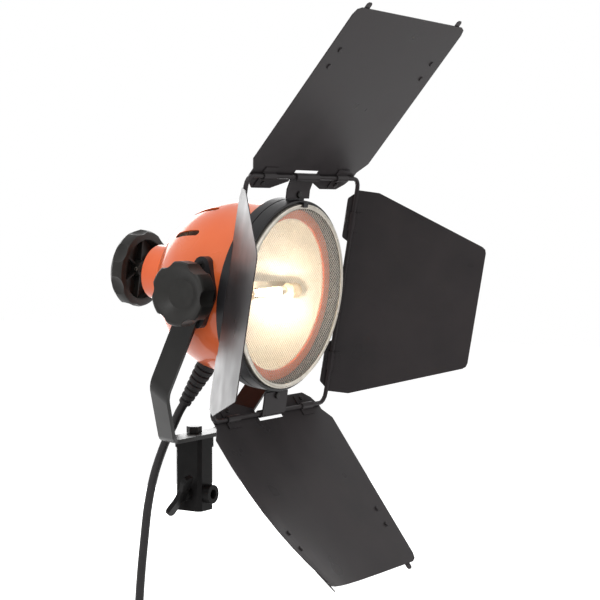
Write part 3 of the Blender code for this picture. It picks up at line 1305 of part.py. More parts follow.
def mains_lead():
    """The lead's free length, its coil, the tie round it and the plug."""
    start, way = relief_mouth()
    knots = [start, start + way * 0.012] + [Vector((0, y, z)) for y, z in CORD_ROUTE]
    end = Vector((0, *COIL_START))
    knots += [end + Vector((0, 0, 0.012)), end]
    points, free_length = smooth_route(knots, 5 * CORD_RADIUS)
    points.insert(1, points[0] + way * 2 * CORD_RADIUS)
    points.insert(-1, end + Vector((0, 0, 0.010)))
    tube("mains_lead", points, 2, RUBBER)
    coil, centre, outer, pitch = coil_points()
    tube("mains_coil", coil, 1, RUBBER)
    coil_length = sum((b - a).length for a, b in zip(coil, coil[1:]))
    print(f"least gap in the coil {least_gap(coil) * 1000:.2f} mm")
    print(f"lead {free_length:.3f} m free and {coil_length:.3f} m coiled")
    coil_tie(centre, outer, pitch)
    plug(coil[-1])


def coil_tie(centre, outer, pitch):
    """A band round all the turns at the top of the coil."""
    room = CORD_RADIUS + 0.0008
    high = outer + room
    low = outer - pitch * COIL_TURNS - room
    depth = pitch + room
    t = TIE_SHEET
    hole = rounded(((-room, low, 0.004), (depth, low, 0.004), (depth, high, 0.004), (-room, high, 0.004)), 3)
    band = rounded(((-room - t, low - t, 0.0055), (depth + t, low - t, 0.0055), (depth + t, high + t, 0.0055),
                    (-room - t, high + t, 0.0055)), 3)
    rings = [[(y, z, x) for y, z in ring] for ring, x in
             ((hole, -TIE_HALF_WIDTH), (band, -TIE_HALF_WIDTH), (band, TIE_HALF_WIDTH), (hole, TIE_HALF_WIDTH))]
    lay = Matrix.Translation(centre) @ Matrix(((0, 0, 1, 0), (1, 0, 0, 0), (0, 1, 0, 0), (0, 0, 0, 1)))
    return piece("coil_tie", loft(rings, lay, closed=True), TIE_RUBBER, ROOT)


def plug(end):
    """A round rubber plug with two pins, on the lead's end."""
    down = Matrix.Translation(end - Vector((0, 0, GAP))) @ Matrix.Rotation(math.pi, 4, "X")
    neck = PLUG_BOOT_LENGTH
    low = neck + PLUG_BODY_LENGTH
    r = PLUG_BODY_RADIUS
    outline = [(0, 0), (PLUG_BOOT_RADIUS, 0), (PLUG_BOOT_RADIUS + 0.003, neck), (r - 0.003, neck + 0.005),
               (r, neck + 0.013), (r, low), (0, low)]
    piece("plug_body", turned(outline, 20, down), PLUG_RUBBER, ROOT)
    for number, sign in enumerate((1, -1), 1):
        lay = down @ Matrix.Translation((sign * PLUG_PIN_PLACE, 0, 0))
        start = low + GAP
        tip = start + PLUG_PIN_LENGTH
        outline = [(0, start), (PLUG_PIN_RADIUS, start), (PLUG_PIN_RADIUS, tip - 0.002), (0.0012, tip), (0, tip)]
        piece(f"plug_pin_{number}", turned(outline, 12, lay), BRASS, ROOT)


# Assembly
yoke_bracket()
spigot_socket()
socket_bolt()
WING_AXIS = axis_empty(
    "wing_axis",
    Matrix.Translation((0, 0, SCREW_HEIGHT)) @ Matrix.Rotation(WING_TURN, 4, "X") @ ALONG_MINUS_X,
    ROOT,
)
wing_screw(WING_AXIS)
housing_bell()
rear_neck()
front_rim()
reflector()
heat_baffle()
terminal_block()
for LABEL, SIGN in (("near", -1), ("far", 1)):
    side_plate(f"side_plate_{LABEL}", SIGN)
    tilt_bolt(f"tilt_bolt_{LABEL}", SIGN)
    side_screw(f"side_screw_{LABEL}_upper", SIGN, SIDE_SCREW_OFFSET)
    side_screw(f"side_screw_{LABEL}_lower", SIGN, -SIDE_SCREW_OFFSET)
pivot_nut()
tilt_knob(axis_empty("tilt_knob_axis", ALONG_MINUS_Y, TILT_AXIS))
FOCUS_AXIS = axis_empty("focus_axis", ALONG_MINUS_Y, TILT_AXIS)
focus_knob(FOCUS_AXIS)
focus_shaft(FOCUS_AXIS)
CARRIAGE = axis_empty("carriage_slide", ALONG_MINUS_Y, TILT_AXIS)
lamp_carriage(CARRIAGE)
lamp(CARRIAGE)
lamp_holder("lamp_holder_near", -1, CARRIAGE)
lamp_holder("lamp_holder_far", 1, CARRIAGE)
guard_ring()
wire_guard()
guard_clip("guard_clip", GUARD_CLIP_ANGLE)
barndoor()
strain_relief()
mains_lead()
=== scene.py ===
"""The looks of the open-face light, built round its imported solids.

Metres, +Z up. The light looks along -Y, and -X is the side of the tilt knob.
"""
import json
import math

import bmesh
import bpy
from mathutils import Matrix, Vector

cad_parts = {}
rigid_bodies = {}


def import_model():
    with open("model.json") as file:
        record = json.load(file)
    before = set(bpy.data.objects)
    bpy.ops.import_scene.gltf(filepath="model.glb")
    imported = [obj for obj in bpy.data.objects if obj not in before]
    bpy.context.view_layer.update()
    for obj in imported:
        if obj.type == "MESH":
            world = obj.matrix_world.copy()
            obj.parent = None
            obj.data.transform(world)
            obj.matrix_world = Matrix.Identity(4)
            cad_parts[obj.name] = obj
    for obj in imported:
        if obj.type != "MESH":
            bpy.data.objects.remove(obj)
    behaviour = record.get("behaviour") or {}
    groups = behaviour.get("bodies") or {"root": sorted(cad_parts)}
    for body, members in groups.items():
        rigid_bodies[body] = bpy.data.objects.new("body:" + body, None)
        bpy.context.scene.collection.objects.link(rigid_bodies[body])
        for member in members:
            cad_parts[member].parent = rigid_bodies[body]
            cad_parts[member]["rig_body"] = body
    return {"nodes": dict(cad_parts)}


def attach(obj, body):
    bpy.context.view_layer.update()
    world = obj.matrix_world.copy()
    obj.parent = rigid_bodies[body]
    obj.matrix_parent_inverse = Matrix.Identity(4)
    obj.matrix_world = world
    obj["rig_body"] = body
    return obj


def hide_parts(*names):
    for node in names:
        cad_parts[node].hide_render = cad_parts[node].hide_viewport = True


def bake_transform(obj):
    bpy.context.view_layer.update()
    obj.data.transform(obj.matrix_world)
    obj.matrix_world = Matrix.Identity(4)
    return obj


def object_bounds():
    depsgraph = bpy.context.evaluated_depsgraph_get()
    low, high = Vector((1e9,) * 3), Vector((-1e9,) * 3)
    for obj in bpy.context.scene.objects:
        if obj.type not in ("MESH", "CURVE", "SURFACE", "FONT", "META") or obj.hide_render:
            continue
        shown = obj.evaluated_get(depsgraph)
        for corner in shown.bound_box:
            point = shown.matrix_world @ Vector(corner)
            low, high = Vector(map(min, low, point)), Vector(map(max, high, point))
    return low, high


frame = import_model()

CAD_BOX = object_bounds()

# Where the head, the frame and the leaves' hinges stand at rest
TILT_SPOT = Vector((0, -0.0725, 0.236))
HEAD_PITCH = math.radians(7.4)
HEAD = Matrix.Translation(TILT_SPOT) @ Matrix.Rotation(HEAD_PITCH + math.pi / 2, 4, "X")
FRAME_AHEAD = 0.046
FRAME_LEAN = math.radians(2.7)
FRAME_HALF_WIDTH = 0.106
FRAME_HALF_HEIGHT = 0.122
FRAME_PLANE = HEAD @ Matrix.Translation((0, 0, FRAME_AHEAD)) @ Matrix.Rotation(FRAME_LEAN, 4, "X")
HINGES = {}
for label, turn, reach, opening in (("top", 0, FRAME_HALF_HEIGHT, 60), ("near", 90, FRAME_HALF_WIDTH, 48),
                                    ("bottom", 180, FRAME_HALF_HEIGHT, 44), ("far", 270, FRAME_HALF_WIDTH, 40)):
    HINGES[label] = (FRAME_PLANE @ Matrix.Rotation(math.radians(turn), 4, "Z") @ Matrix.Translation((0, reach, 0))
                     @ Matrix.Rotation(math.radians(90 - opening), 4, "X"))
TOWARDS_FAR = Matrix.Rotation(math.radians(90), 4, "Y")
TOWARDS_NEAR = Matrix.Rotation(math.radians(-90), 4, "Y")


# Camera
CAMERA_AZIMUTH = math.radians(-57.89)
CAMERA_HEIGHT = math.radians(3.0)
CAMERA_AIM = Vector((0, -0.1257, 0.2300))
CAMERA_DISTANCE = 1.72494
CAMERA_SHIFT = (0.00563, 0.00403)
CAMERA_LENS = 101.84


def stand_camera():
    """Stands the camera at the photograph's viewing angle."""
    azimuth, height = CAMERA_AZIMUTH, CAMERA_HEIGHT
    back = Vector((math.sin(azimuth) * math.cos(height), -math.cos(azimuth) * math.cos(height), math.sin(height)))
    right = Vector((math.cos(azimuth), math.sin(azimuth), 0))
    top = back.cross(right)
    spot = CAMERA_AIM + back * CAMERA_DISTANCE + right * CAMERA_SHIFT[0] - top * CAMERA_SHIFT[1]
    bpy.ops.object.camera_add(location=spot)
    camera = bpy.context.object
    camera.matrix_world = Matrix.Translation(spot) @ Matrix((right, top, back)).transposed().to_4x4()
    camera.data.sensor_width = 36
    camera.data.lens = CAMERA_LENS
    bpy.context.scene.camera = camera


stand_camera()


# Bench tools
MERGE_DISTANCE = 0.000005
SMOOTH_BELOW = math.radians(32)


def only(piece):
    """Selects one piece and nothing else."""
    bpy.ops.object.select_all(action="DESELECT")
    piece.select_set(True)
    bpy.context.view_layer.objects.active = piece


def named(name):
    """Names the primitive that was just added."""
    piece = bpy.context.object
    piece.name = name
    piece.data.name = name
    bpy.ops.object.transform_apply(location=True, rotation=True, scale=True)
    return piece


def cube(name, low, high):
    """A block between two corners, as a start for shaping."""
    low, high = Vector(low), Vector(high)
    bpy.ops.object.select_all(action="DESELECT")
    bpy.ops.mesh.primitive_cube_add(size=1, location=(low + high) / 2, scale=high - low)
    return named(name)


def pick(piece, test, kind="FACE"):
    """Selects the faces or edges of a piece in edit mode whose middle and direction pass a test."""
    only(piece)
    bpy.ops.object.mode_set(mode="EDIT")
    bpy.ops.mesh.select_mode(type=kind)
    bpy.ops.mesh.select_all(action="DESELECT")
    bm = bmesh.from_edit_mesh(piece.data)
    for item in bm.faces if kind == "FACE" else bm.edges:
        if kind == "FACE":
            found = test(item.calc_center_median(), item.normal)
        else:
            a, b = (v.co for v in item.verts)
            found = test((a + b) / 2, (b - a).normalized())
        item.select_set(bool(found))
    bmesh.update_edit_mesh(piece.data)


def close_up(piece):
    """Merges doubled points, turns every face outwards and leaves edit mode."""
    only(piece)
    bpy.ops.object.mode_set(mode="EDIT")
    bpy.ops.mesh.select_mode(type="VERT")
    bpy.ops.mesh.select_all(action="SELECT")
    bpy.ops.mesh.remove_doubles(threshold=MERGE_DISTANCE)
    bpy.ops.mesh.normals_make_consistent(inside=False)
    bpy.ops.object.mode_set(mode="OBJECT")
    return piece


def turned(name, outline, segments=96):
    """Turns a piece as on a lathe: a ring drawn out along Z; an outline that comes back to its start is a tube."""
    tube = outline[0] == outline[-1]
    radius, height = outline[0]
    bpy.ops.object.select_all(action="DESELECT")
    bpy.ops.mesh.primitive_circle_add(vertices=segments, radius=radius, location=(0, 0, height),
                                      fill_type="NOTHING" if tube else "NGON")
    piece = named(name)
    bpy.ops.object.mode_set(mode="EDIT")
    bpy.ops.mesh.select_mode(type="VERT")
    bpy.ops.mesh.select_all(action="SELECT")
    for next_radius, next_height in outline[1:]:
        bpy.ops.mesh.extrude_region_move(TRANSFORM_OT_translate={"value": (0, 0, next_height - height)})
        if next_radius != radius:
            share = next_radius / radius
            bpy.ops.transform.resize(value=(share, share, 1), center_override=(0, 0, next_height))
        radius, height = next_radius, next_height
    bpy.ops.object.mode_set(mode="OBJECT")
    return close_up(piece)


def round_edges(piece, width, segments=2, angle=30):
    """Rounds the sharp edges of a piece."""
    only(piece)
    rounding = piece.modifiers.new("edges", "BEVEL")
    rounding.width = width
    rounding.segments = segments
    rounding.limit_method = "ANGLE"
    rounding.angle_limit = math.radians(angle)
    bpy.ops.object.modifier_apply(modifier=rounding.name)
    return piece


def cut(piece, tool, operation="DIFFERENCE"):
    """Cuts or welds a piece with another, which is used up."""
    only(piece)
    step = piece.modifiers.new("cut", "BOOLEAN")
    step.object = tool
    step.operation = operation
    step.solver = "EXACT"
    bpy.ops.object.modifier_apply(modifier=step.name)
    bpy.data.objects.remove(tool, do_unlink=True)
    return piece


def joined(name, pieces):
    """Makes one mesh of several pieces."""
    only(pieces[0])
    for piece in pieces[1:]:
        piece.select_set(True)
    bpy.ops.object.join()
    pieces[0].name = name
    return pieces[0]


def settle(piece, matrix):
    """Moves a piece from the bench to its place, which stays in its mesh."""
    piece.matrix_world = matrix
    only(piece)
    bpy.ops.object.transform_apply(location=True, rotation=True, scale=True)
    return piece


def copied(piece, name, matrix):
    """A copy of a piece with its own mesh, at its own place."""
    only(piece)
    bpy.ops.object.duplicate()
    twin = bpy.context.object
    twin.name = name
    return settle(twin, matrix)


def dress(piece, material, *nodes, body=None, bend=None):
    """Gives a piece its finish and lets it stand for its solids, on one body or, for a piece given a bend, left
    with its place baked into its mesh and on no body.
    """
    only(piece)
    bpy.ops.object.shade_smooth_by_angle(angle=SMOOTH_BELOW)
    weighted = piece.modifiers.new("normals", "WEIGHTED_NORMAL")
    weighted.keep_sharp = True
    bpy.ops.object.modifier_apply(modifier=weighted.name)
    piece.data.materials.clear()
    piece.data.materials.append(material)
    if bend:
        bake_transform(piece)
    else:
        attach(piece, body or frame["nodes"][nodes[0]]["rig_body"])
    if nodes:
        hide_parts(*nodes)
    return piece


def rounded_copy(node, material, width, segments=2):
    """Welds a copy of a CAD solid into one mesh, rounds its edges and lets it stand for the solid."""
    piece = bpy.data.objects.new(f"{node}_worked", frame["nodes"][node].data.copy())
    bpy.context.scene.collection.objects.link(piece)
    only(piece)
    bpy.ops.mesh.customdata_custom_splitnormals_clear()
    bpy.ops.object.mode_set(mode="EDIT")
    bpy.ops.mesh.select_mode(type="VERT")
    bpy.ops.mesh.select_all(action="SELECT")
    bpy.ops.mesh.remove_doubles(threshold=MERGE_DISTANCE)
    bpy.ops.mesh.dissolve_limited(angle_limit=math.radians(0.6))
    bpy.ops.object.mode_set(mode="OBJECT")
    round_edges(piece, width, segments)
    return dress(piece, material, node)


def linear(colour):
    """An sRGB hex colour as linear light."""
    channels = [int(colour[i:i + 2], 16) / 255 for i in (0, 2, 4)]
    return (*[c / 12.92 if c <= 0.04045 else ((c + 0.055) / 1.055) ** 2.4 for c in channels], 1)


def add(owner, kind, inputs=None, **settings):
    """Adds one node to a material or the world, with its settings, its values and its links."""
    tree = owner.node_tree
    node = tree.nodes.new(kind)
    for key, value in settings.items():
        setattr(node, key, value)
    for key, value in (inputs or {}).items():
        if isinstance(value, bpy.types.NodeSocket):
            tree.links.new(value, node.inputs[key])
        else:
            node.inputs[key].default_value = value
    return node


def surface(name, slot, colour, other, roughness, spread, cloud_mm, grain_mm, depth_mm, **sockets):
    """A finish whose tone and gloss drift in soft clouds, over a fine grain that stands in the surface."""
    material = bpy.data.materials.new(name)
    material.use_nodes = True
    shader = material.node_tree.nodes["Principled BSDF"]
    for socket, value in sockets.items():
        shader.inputs[socket.replace("_", " ")].default_value = value
    place = add(material, "ShaderNodeTexCoord").outputs["Object"]
    clouds = add(material, "ShaderNodeTexNoise", {"Vector": place, "Scale": 1000 / cloud_mm, "Detail": 3.0})
    drift = add(material, "ShaderNodeMapRange", {"Value": clouds.outputs["Fac"],
                                                 "From Min": 0.35, "From Max": 0.65})
    tone = add(material, "ShaderNodeMix", {0: drift.outputs[0], 6: linear(colour), 7: linear(other)},
               data_type="RGBA")
    gloss = add(material, "ShaderNodeMapRange", {"Value": clouds.outputs["Fac"], "From Min": 0.3, "From Max": 0.7,
                                                 "To Min": roughness - spread, "To Max": roughness + spread})
    grain = add(material, "ShaderNodeTexNoise", {"Vector": place, "Scale": 1000 / grain_mm, "Detail": 2.0})
    relief = add(material, "ShaderNodeBump", {"Height": grain.outputs["Fac"], "Distance": depth_mm / 1000})
    for source, socket in ((tone.outputs[2], "Base Color"), (gloss.outputs[0], "Roughness"),
                           (relief.outputs[0], "Normal")):
        material.node_tree.links.new(source, shader.inputs[socket])
    return material


# Polyester enamel baked on aluminium: a deep, even orange under a smooth gloss with faint orange peel
ORANGE_ENAMEL = surface("baked_orange_enamel", "orange_paint", "F0713A", "EA662F", 0.30, 0.04, 60, 3.0, 0.010,
                        Specular_IOR_Level=0.3, Coat_Weight=0.5, Coat_Roughness=0.03)
# Satin stove enamel on turned aluminium: near black, with broad soft reflections
BLACK_ENAMEL = surface("satin_black_enamel", "black_paint", "242325", "1F1E20", 0.40, 0.05, 30, 0.7, 0.012,
                       Specular_IOR_Level=0.3)
# Heat-proof paint on sheet steel: charcoal, slightly brown, with a fine tooth
LEAF_PAINT = surface("charcoal_heat_paint", "leaf_paint", "343132", "393536", 0.32, 0.05, 45, 0.6, 0.008,
                     IOR=1.18)
# Powder coat on bent steel bar: black satin with the coat's fine pebble
BAR_COAT = surface("black_powder_coat", "yoke_paint", "191817", "1F1E1D", 0.34, 0.04, 25, 1.0, 0.015,
                   Specular_IOR_Level=0.28)
# Moulded phenolic: matt black, a little rubbed where the hand turns it
KNOB_PHENOLIC = surface("moulded_phenolic", "knob_plastic", "21201E", "282725", 0.42, 0.06, 12, 0.5, 0.012,
                        Specular_IOR_Level=0.28)
# Die-cast zinc, painted: dark, with the mould's soft unevenness
CAST_METAL = surface("painted_die_cast", "cast_black", "131212", "1A1919", 0.42, 0.06, 9, 1.6, 0.04,
                     IOR=1.2)
# Zinc-plated steel: warm silver grey with a dull bloom
ZINC_PLATE = surface("zinc_plated_steel", "zinc_steel", "D2CCC1", "C2BCB1", 0.32, 0.08, 8, 0.4, 0.006,
                     Metallic=1.0)
# Black-oxide steel: small hard highlights on the screws
BLACK_OXIDE = surface("black_oxide_steel", "dark_screw", "1D1C1C", "2A2827", 0.36, 0.06, 4, 0.3, 0.006,
                      Metallic=0.7)
# Peened and anodised aluminium: a bright bowl whose small dimples break up the lamp's image
PEENED_ALUMINIUM = surface("peened_aluminium", "reflector_metal", "FAF5EA", "F4EDE0", 0.42, 0.04, 30, 2.2, 0.12,
                           Metallic=1.0)
# Fused quartz: a clear, hard tube
FUSED_QUARTZ = surface("fused_quartz", "quartz", "FFFFFF", "FDFBF6", 0.03, 0.01, 20, 5.0, 0.002,
                       Transmission_Weight=1.0, IOR=1.46)
# Steatite: matt cream ceramic, browned by heat
STEATITE = surface("steatite_ceramic", "ceramic", "D9C7A4", "B99A6C", 0.62, 0.05, 6, 0.5, 0.02)
# Neoprene: dull black with a fine talc grey
NEOPRENE = surface("neoprene_sheath", "cord_rubber", "232122", "2B292A", 0.55, 0.05, 15, 0.6, 0.015,
                   Specular_IOR_Level=0.3)
# Rubber band round the coil
BAND_RUBBER = surface("moulded_band_rubber", "tie_rubber", "1B191A", "222021", 0.7, 0.05, 10, 0.5, 0.01)
# Moulded rubber of the plug
PLUG_RUBBER = surface("moulded_plug_rubber", "plug_rubber", "211F20", "292728", 0.58, 0.05, 12, 0.8, 0.015)
# Brass, turned and tarnished
PIN_BRASS = surface("turned_brass", "pin_brass", "C9A45A", "B48C46", 0.3, 0.06, 5, 0.3, 0.004, Metallic=1.0)


def glowing(name, colour, strength):
    """A surface that shines by itself."""
    material = bpy.data.materials.new(name)
    material.use_nodes = True
    shader = material.node_tree.nodes["Principled BSDF"]
    shader.inputs["Base Color"].default_value = linear(colour)
    shader.inputs["Emission Color"].default_value = linear(colour)
    shader.inputs["Emission Strength"].default_value = strength
    return material


# Tungsten at about 3200 K
HOT_TUNGSTEN = glowing("hot_tungsten", "FFE9C4", 60.0)


# Mains lead
CORD_RADIUS = 0.0047
RELIEF_ANGLE = math.radians(62.8)
RELIEF_WAY = Vector((0, -math.sin(RELIEF_ANGLE), -math.cos(RELIEF_ANGLE)))
RELIEF_END = 0.1500
FACE_GAP = 0.0003
CORD_START = HEAD @ (RELIEF_WAY * (RELIEF_END + FACE_GAP))
CORD_KNOTS = [CORD_START, CORD_START + HEAD.to_3x3() @ RELIEF_WAY * 0.012]
CORD_KNOTS += [Vector((0, y, z)) for y, z in (
    (0.0268, 0.0890), (0.0395, 0.0660), (0.0530, 0.0330), (0.0618, -0.0024), (0.0670, -0.0392),
    (0.0714, -0.0759), (0.0745, -0.1120), (0.0760, -0.1450), (0.0760, -0.1700), (0.0760, -0.1880),
    (0.0760, -0.2000))]
COIL_TURNS = 4
COIL_PITCH = 0.0101
COIL_MEAN_RADIUS = 0.053
COIL_OUTER = COIL_MEAN_RADIUS + COIL_PITCH * (COIL_TURNS - 0.5) / 2
COIL_CENTRE = Vector((COIL_OUTER, 0.0760, -0.2000 - 2 * CORD_RADIUS))
COIL_TAIL = 0.032
TURN_POINTS = 48
# A point low on the lead, down to which the real lead swings with the head as it tilts
CORD_SETTLES = Vector((0, 0.0752, -0.1350))


def hanging_points():
    """Points of the free length, on a smooth curve through its knots."""
    points = []
    padded = [CORD_KNOTS[0] * 2 - CORD_KNOTS[1]] + CORD_KNOTS + [CORD_KNOTS[-1] * 2 - CORD_KNOTS[-2]]
    for a, b, c, d in zip(padded, padded[1:], padded[2:], padded[3:]):
        steps = max(2, round((c - b).length / 0.006))
        for k in range(steps):
            t = k / steps
            points.append(0.5 * ((2 * b) + (c - a) * t + (2 * a - 5 * b + 4 * c - d) * t ** 2
                                 + (3 * b - a - 3 * c + d) * t ** 3))
    return points + [CORD_KNOTS[-1]]


def coiled_points():
    """Points of the coil: four turns inwards, across to the next layer, and four turns out."""
    steps = COIL_TURNS * TURN_POINTS
    points = []
    for k in range(2 * steps + 1):
        radius = COIL_OUTER - COIL_PITCH * min(k, 2 * steps - k) / TURN_POINTS
        climb = min(1, max(0, (k - steps + TURN_POINTS / 4) / (TURN_POINTS / 2)))
        angle = math.pi + 2 * math.pi * k / TURN_POINTS
        points.append(COIL_CENTRE + Vector((radius * math.cos(angle), COIL_PITCH * climb * climb * (3 - 2 * climb),
                                            radius * math.sin(angle))))
    return points + [points[-1] - Vector((0, 0, COIL_TAIL))]


def mains_lead():
    """The whole lead as one round cord, from the strain relief to its plug."""
    points = hanging_points() + coiled_points()
    curve = bpy.data.curves.new("mains_cord", "CURVE")
    curve.dimensions = "3D"
    line = curve.splines.new("POLY")
    line.points.add(len(points) - 1)
    for spot, point in zip(line.points, points):
        spot.co = (*point, 1)
    curve.bevel_depth = CORD_RADIUS
    curve.bevel_resolution = 4
    curve.use_fill_caps = True
    cord = bpy.data.objects.new("mains_cord", curve)
    bpy.context.scene.collection.objects.link(cord)
    only(cord)
    bpy.ops.object.convert(target="MESH")
    head, yoke = (frame["nodes"][node]["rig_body"] for node in ("strain_relief", "mains_lead"))
    cord = dress(bpy.context.object, NEOPRENE, "mains_lead", "mains_coil",
                 bend=(head, yoke, points[2], CORD_SETTLES))
    return cord, points


def plug():
    """The rubber plug: a waisted boot with bending slots, a ribbed grip and a moulded front face."""
    outline = [(0.0058, 0), (0.0065, 0.0006)]
    for k in range(5):
        low = 0.003 + k * 0.0048
        radius = 0.0066 + 0.0006 * k
        outline += [(radius, low), (radius - 0.0012, low + 0.0004), (radius - 0.0012, low + 0.0018),
                    (radius + 0.0001, low + 0.0022)]
    outline += [(0.0098, 0.0275), (0.0150, 0.0330), (0.0175, 0.0372), (0.0185, 0.0410), (0.0185, 0.0430),
                (0.0178, 0.0436), (0.0178, 0.0560), (0.0185, 0.0566), (0.0185, 0.0605), (0.0172, 0.0620)]
    body = turned("plug_moulding", outline, 64)
    for k in range(16):
        rib = cube("rib", (0.0170, -0.0011, 0.0436), (0.0184, 0.0011, 0.0560))
        settle(rib, Matrix.Rotation(2 * math.pi * k / 16, 4, "Z"))
        body = joined("plug_moulding", [body, rib])
    round_edges(body, 0.0003, 1)
    place = Matrix.Translation(LEAD_POINTS[-1] - Vector((0, 0, FACE_GAP))) @ Matrix.Rotation(math.pi, 4, "X")
    settle(body, place)
    return dress(body, PLUG_RUBBER, "plug_body")


LEAD, LEAD_POINTS = mains_lead()
PLUG = plug()
PINS = [rounded_copy(f"plug_pin_{number}", PIN_BRASS, 0.0002) for number in (1, 2)]
TIE = rounded_copy("coil_tie", BAND_RUBBER, 0.0004)


# Housing
BELL_RADIUS = 0.090
BELL_INSIDE = 0.0885
BELL_CENTRE = -0.010
CAP_EDGE = 0.049
VENT_ANGLES = (0, 25.5, -25.5, 51, -51)


def dome(radius, first, last, steps):
    """Outline points on the rear of the bell's sphere, between two distances from the axis."""
    low, high = math.asin(min(1, first / radius)), math.asin(min(1, last / radius))
    angles = [low + (high - low) * k / steps for k in range(steps + 1)]
    return [(radius * math.sin(t), BELL_CENTRE - radius * math.cos(t)) for t in angles]


def housing_bell():
    """The spun bell with its rolled lip and its five vents."""
    outline = [(0.0785, 0.040), (BELL_RADIUS, 0.040)] + dome(BELL_RADIUS, BELL_RADIUS, CAP_EDGE, 18)
    outline += dome(BELL_INSIDE, CAP_EDGE, BELL_INSIDE, 18)
    outline += [(BELL_INSIDE, 0.0385), (0.0785, 0.0385), (0.0785, 0.040)]
    bell = turned("bell_shell", outline, 128)
    for angle in VENT_ANGLES:
        vent = cube("vent", (-0.0035, 0.055, -0.058), (0.0035, 0.110, -0.024))
        pick(vent, lambda middle, way: abs(way.y) > 0.9, "EDGE")
        bpy.ops.mesh.bevel(offset=0.0034, segments=6)
        bpy.ops.object.mode_set(mode="OBJECT")
        cut(bell, settle(vent, Matrix.Rotation(math.radians(angle), 4, "Z")))
    round_edges(bell, 0.0006)
    return dress(settle(bell, HEAD), ORANGE_ENAMEL, "housing_bell")


def rear_neck():
    """The rear cap with its neck and end plate."""
    outline = dome(BELL_RADIUS, 0.0487, 0.029, 8)
    outline += [(0.029, -0.121), (0.0046, -0.121), (0.0046, -0.1185), (0.0275, -0.1185)]
    outline += dome(BELL_INSIDE, 0.0275, 0.0487, 8)
    outline.append(outline[0])
    neck = round_edges(turned("neck_shell", outline, 96), 0.0008, 3)
    return dress(settle(neck, HEAD), ORANGE_ENAMEL, "rear_neck")


def front_rings():
    """The black rim, the barndoor ring that turns on it, and the rolled guard ring."""
    rim = turned("rim_turning", [(0.0903, 0.026), (0.0985, 0.026), (0.0985, 0.0362), (0.0948, 0.0362),
                                 (0.0948, 0.0493), (0.0885, 0.0493), (0.0885, 0.0403), (0.0903, 0.0403),
                                 (0.0903, 0.026)], 128)
    dress(settle(round_edges(rim, 0.0006), HEAD), BLACK_ENAMEL, "front_rim")
    ring = turned("door_ring_turning", [(0.0951, 0.0365), (0.0982, 0.0365), (0.0982, 0.0505), (0.0951, 0.0505),
                                        (0.0951, 0.0365)], 128)
    for side in (1, -1):
        low, high = sorted((side * 0.0966, side * 0.110))
        cut(ring, cube("ear", (-0.015, low, 0.0402), (0.015, high, 0.0432)), "UNION")
    dress(settle(round_edges(ring, 0.0005), HEAD), BLACK_ENAMEL, "barndoor_ring")
    guard = turned("guard_rolling", [(0.0942, 0.0496), (0.0950, 0.0496), (0.0950, 0.0530), (0.0944, 0.0538),
                                     (0.0936, 0.0540), (0.0931, 0.0536), (0.0925, 0.0536), (0.0920, 0.0540),
                                     (0.0908, 0.0540), (0.0900, 0.0536), (0.0900, 0.0530), (0.0906, 0.0532),
                                     (0.0942, 0.0532), (0.0942, 0.0496)], 128)
    dress(settle(guard, HEAD), ZINC_PLATE, "guard_ring")


def wire_guard():
    """The woven wire guard: wires that pass over and under each other, trimmed to the ring."""
    pitch, wire, sway, count = 0.0026, 0.00022, 0.00022, 72
    start = -pitch * count / 2
    wires = []
    for phase in (1, -1):
        bpy.ops.object.select_all(action="DESELECT")
        bpy.ops.mesh.primitive_circle_add(vertices=4, radius=wire, location=(start, start, phase * sway),
                                          rotation=(0, math.pi / 2, 0))
        strand = named("strand")
        bpy.ops.object.mode_set(mode="EDIT")
        bpy.ops.mesh.select_mode(type="VERT")
        bpy.ops.mesh.select_all(action="SELECT")
        for k in range(count):
            rise = -2 * sway * phase * (-1) ** k
            bpy.ops.mesh.extrude_region_move(TRANSFORM_OT_translate={"value": (pitch, 0, rise)})
        bpy.ops.object.mode_set(mode="OBJECT")
        if phase < 0:
            settle(strand, Matrix.Translation((0, pitch, 0)))
        wires.append(strand)
    weave = joined("guard_weave", wires)
    rows = weave.modifiers.new("rows", "ARRAY")
    rows.count = count // 2
    rows.use_relative_offset = False
    rows.use_constant_offset = True
    rows.constant_offset_displace = (0, 2 * pitch, 0)
    bpy.ops.object.modifier_apply(modifier=rows.name)
    across = copied(weave, "weft", Matrix.Rotation(math.pi / 2, 4, "Z") @ Matrix.Scale(-1, 4, (0, 0, 1)))
    weave = joined("guard_weave", [weave, across])
    settle(weave, Matrix.Rotation(math.pi / 4, 4, "Z"))
    pick(weave, lambda middle, way: math.hypot(middle.x, middle.y) > 0.0932)
    bpy.ops.mesh.delete(type="FACE")
    bpy.ops.object.mode_set(mode="OBJECT")
    close_up(weave)
    settle(weave, HEAD @ Matrix.Translation((0, 0, 0.0524)))
    return dress(weave, ZINC_PLATE, "wire_guard")


housing_bell()
rear_neck()
front_rings()
wire_guard()


# Reflector and lamp
BOWL_HOLE = 0.020
BOWL_CENTRE = 0.0375
LAMP_AHEAD = 0.022


def bowl(radius, steps=24):
    """Outline points of the bowl, from its hole out to its widest circle."""
    hole = math.asin(BOWL_HOLE / radius)
    angles = [hole + (math.pi / 2 - hole) * k / steps for k in range(steps + 1)]
    return [(radius * math.sin(t), BOWL_CENTRE - radius * math.cos(t)) for t in angles]


def reflector():
    """The spun bowl with its flange."""
    outline = bowl(0.0775) + [(0.0775, 0.0382), (0.0882, 0.0382), (0.0882, 0.0375)] + bowl(0.0782)[::-1]
    outline.append(outline[0])
    return dress(settle(turned("reflector_bowl", outline, 96), HEAD), PEENED_ALUMINIUM, "reflector")


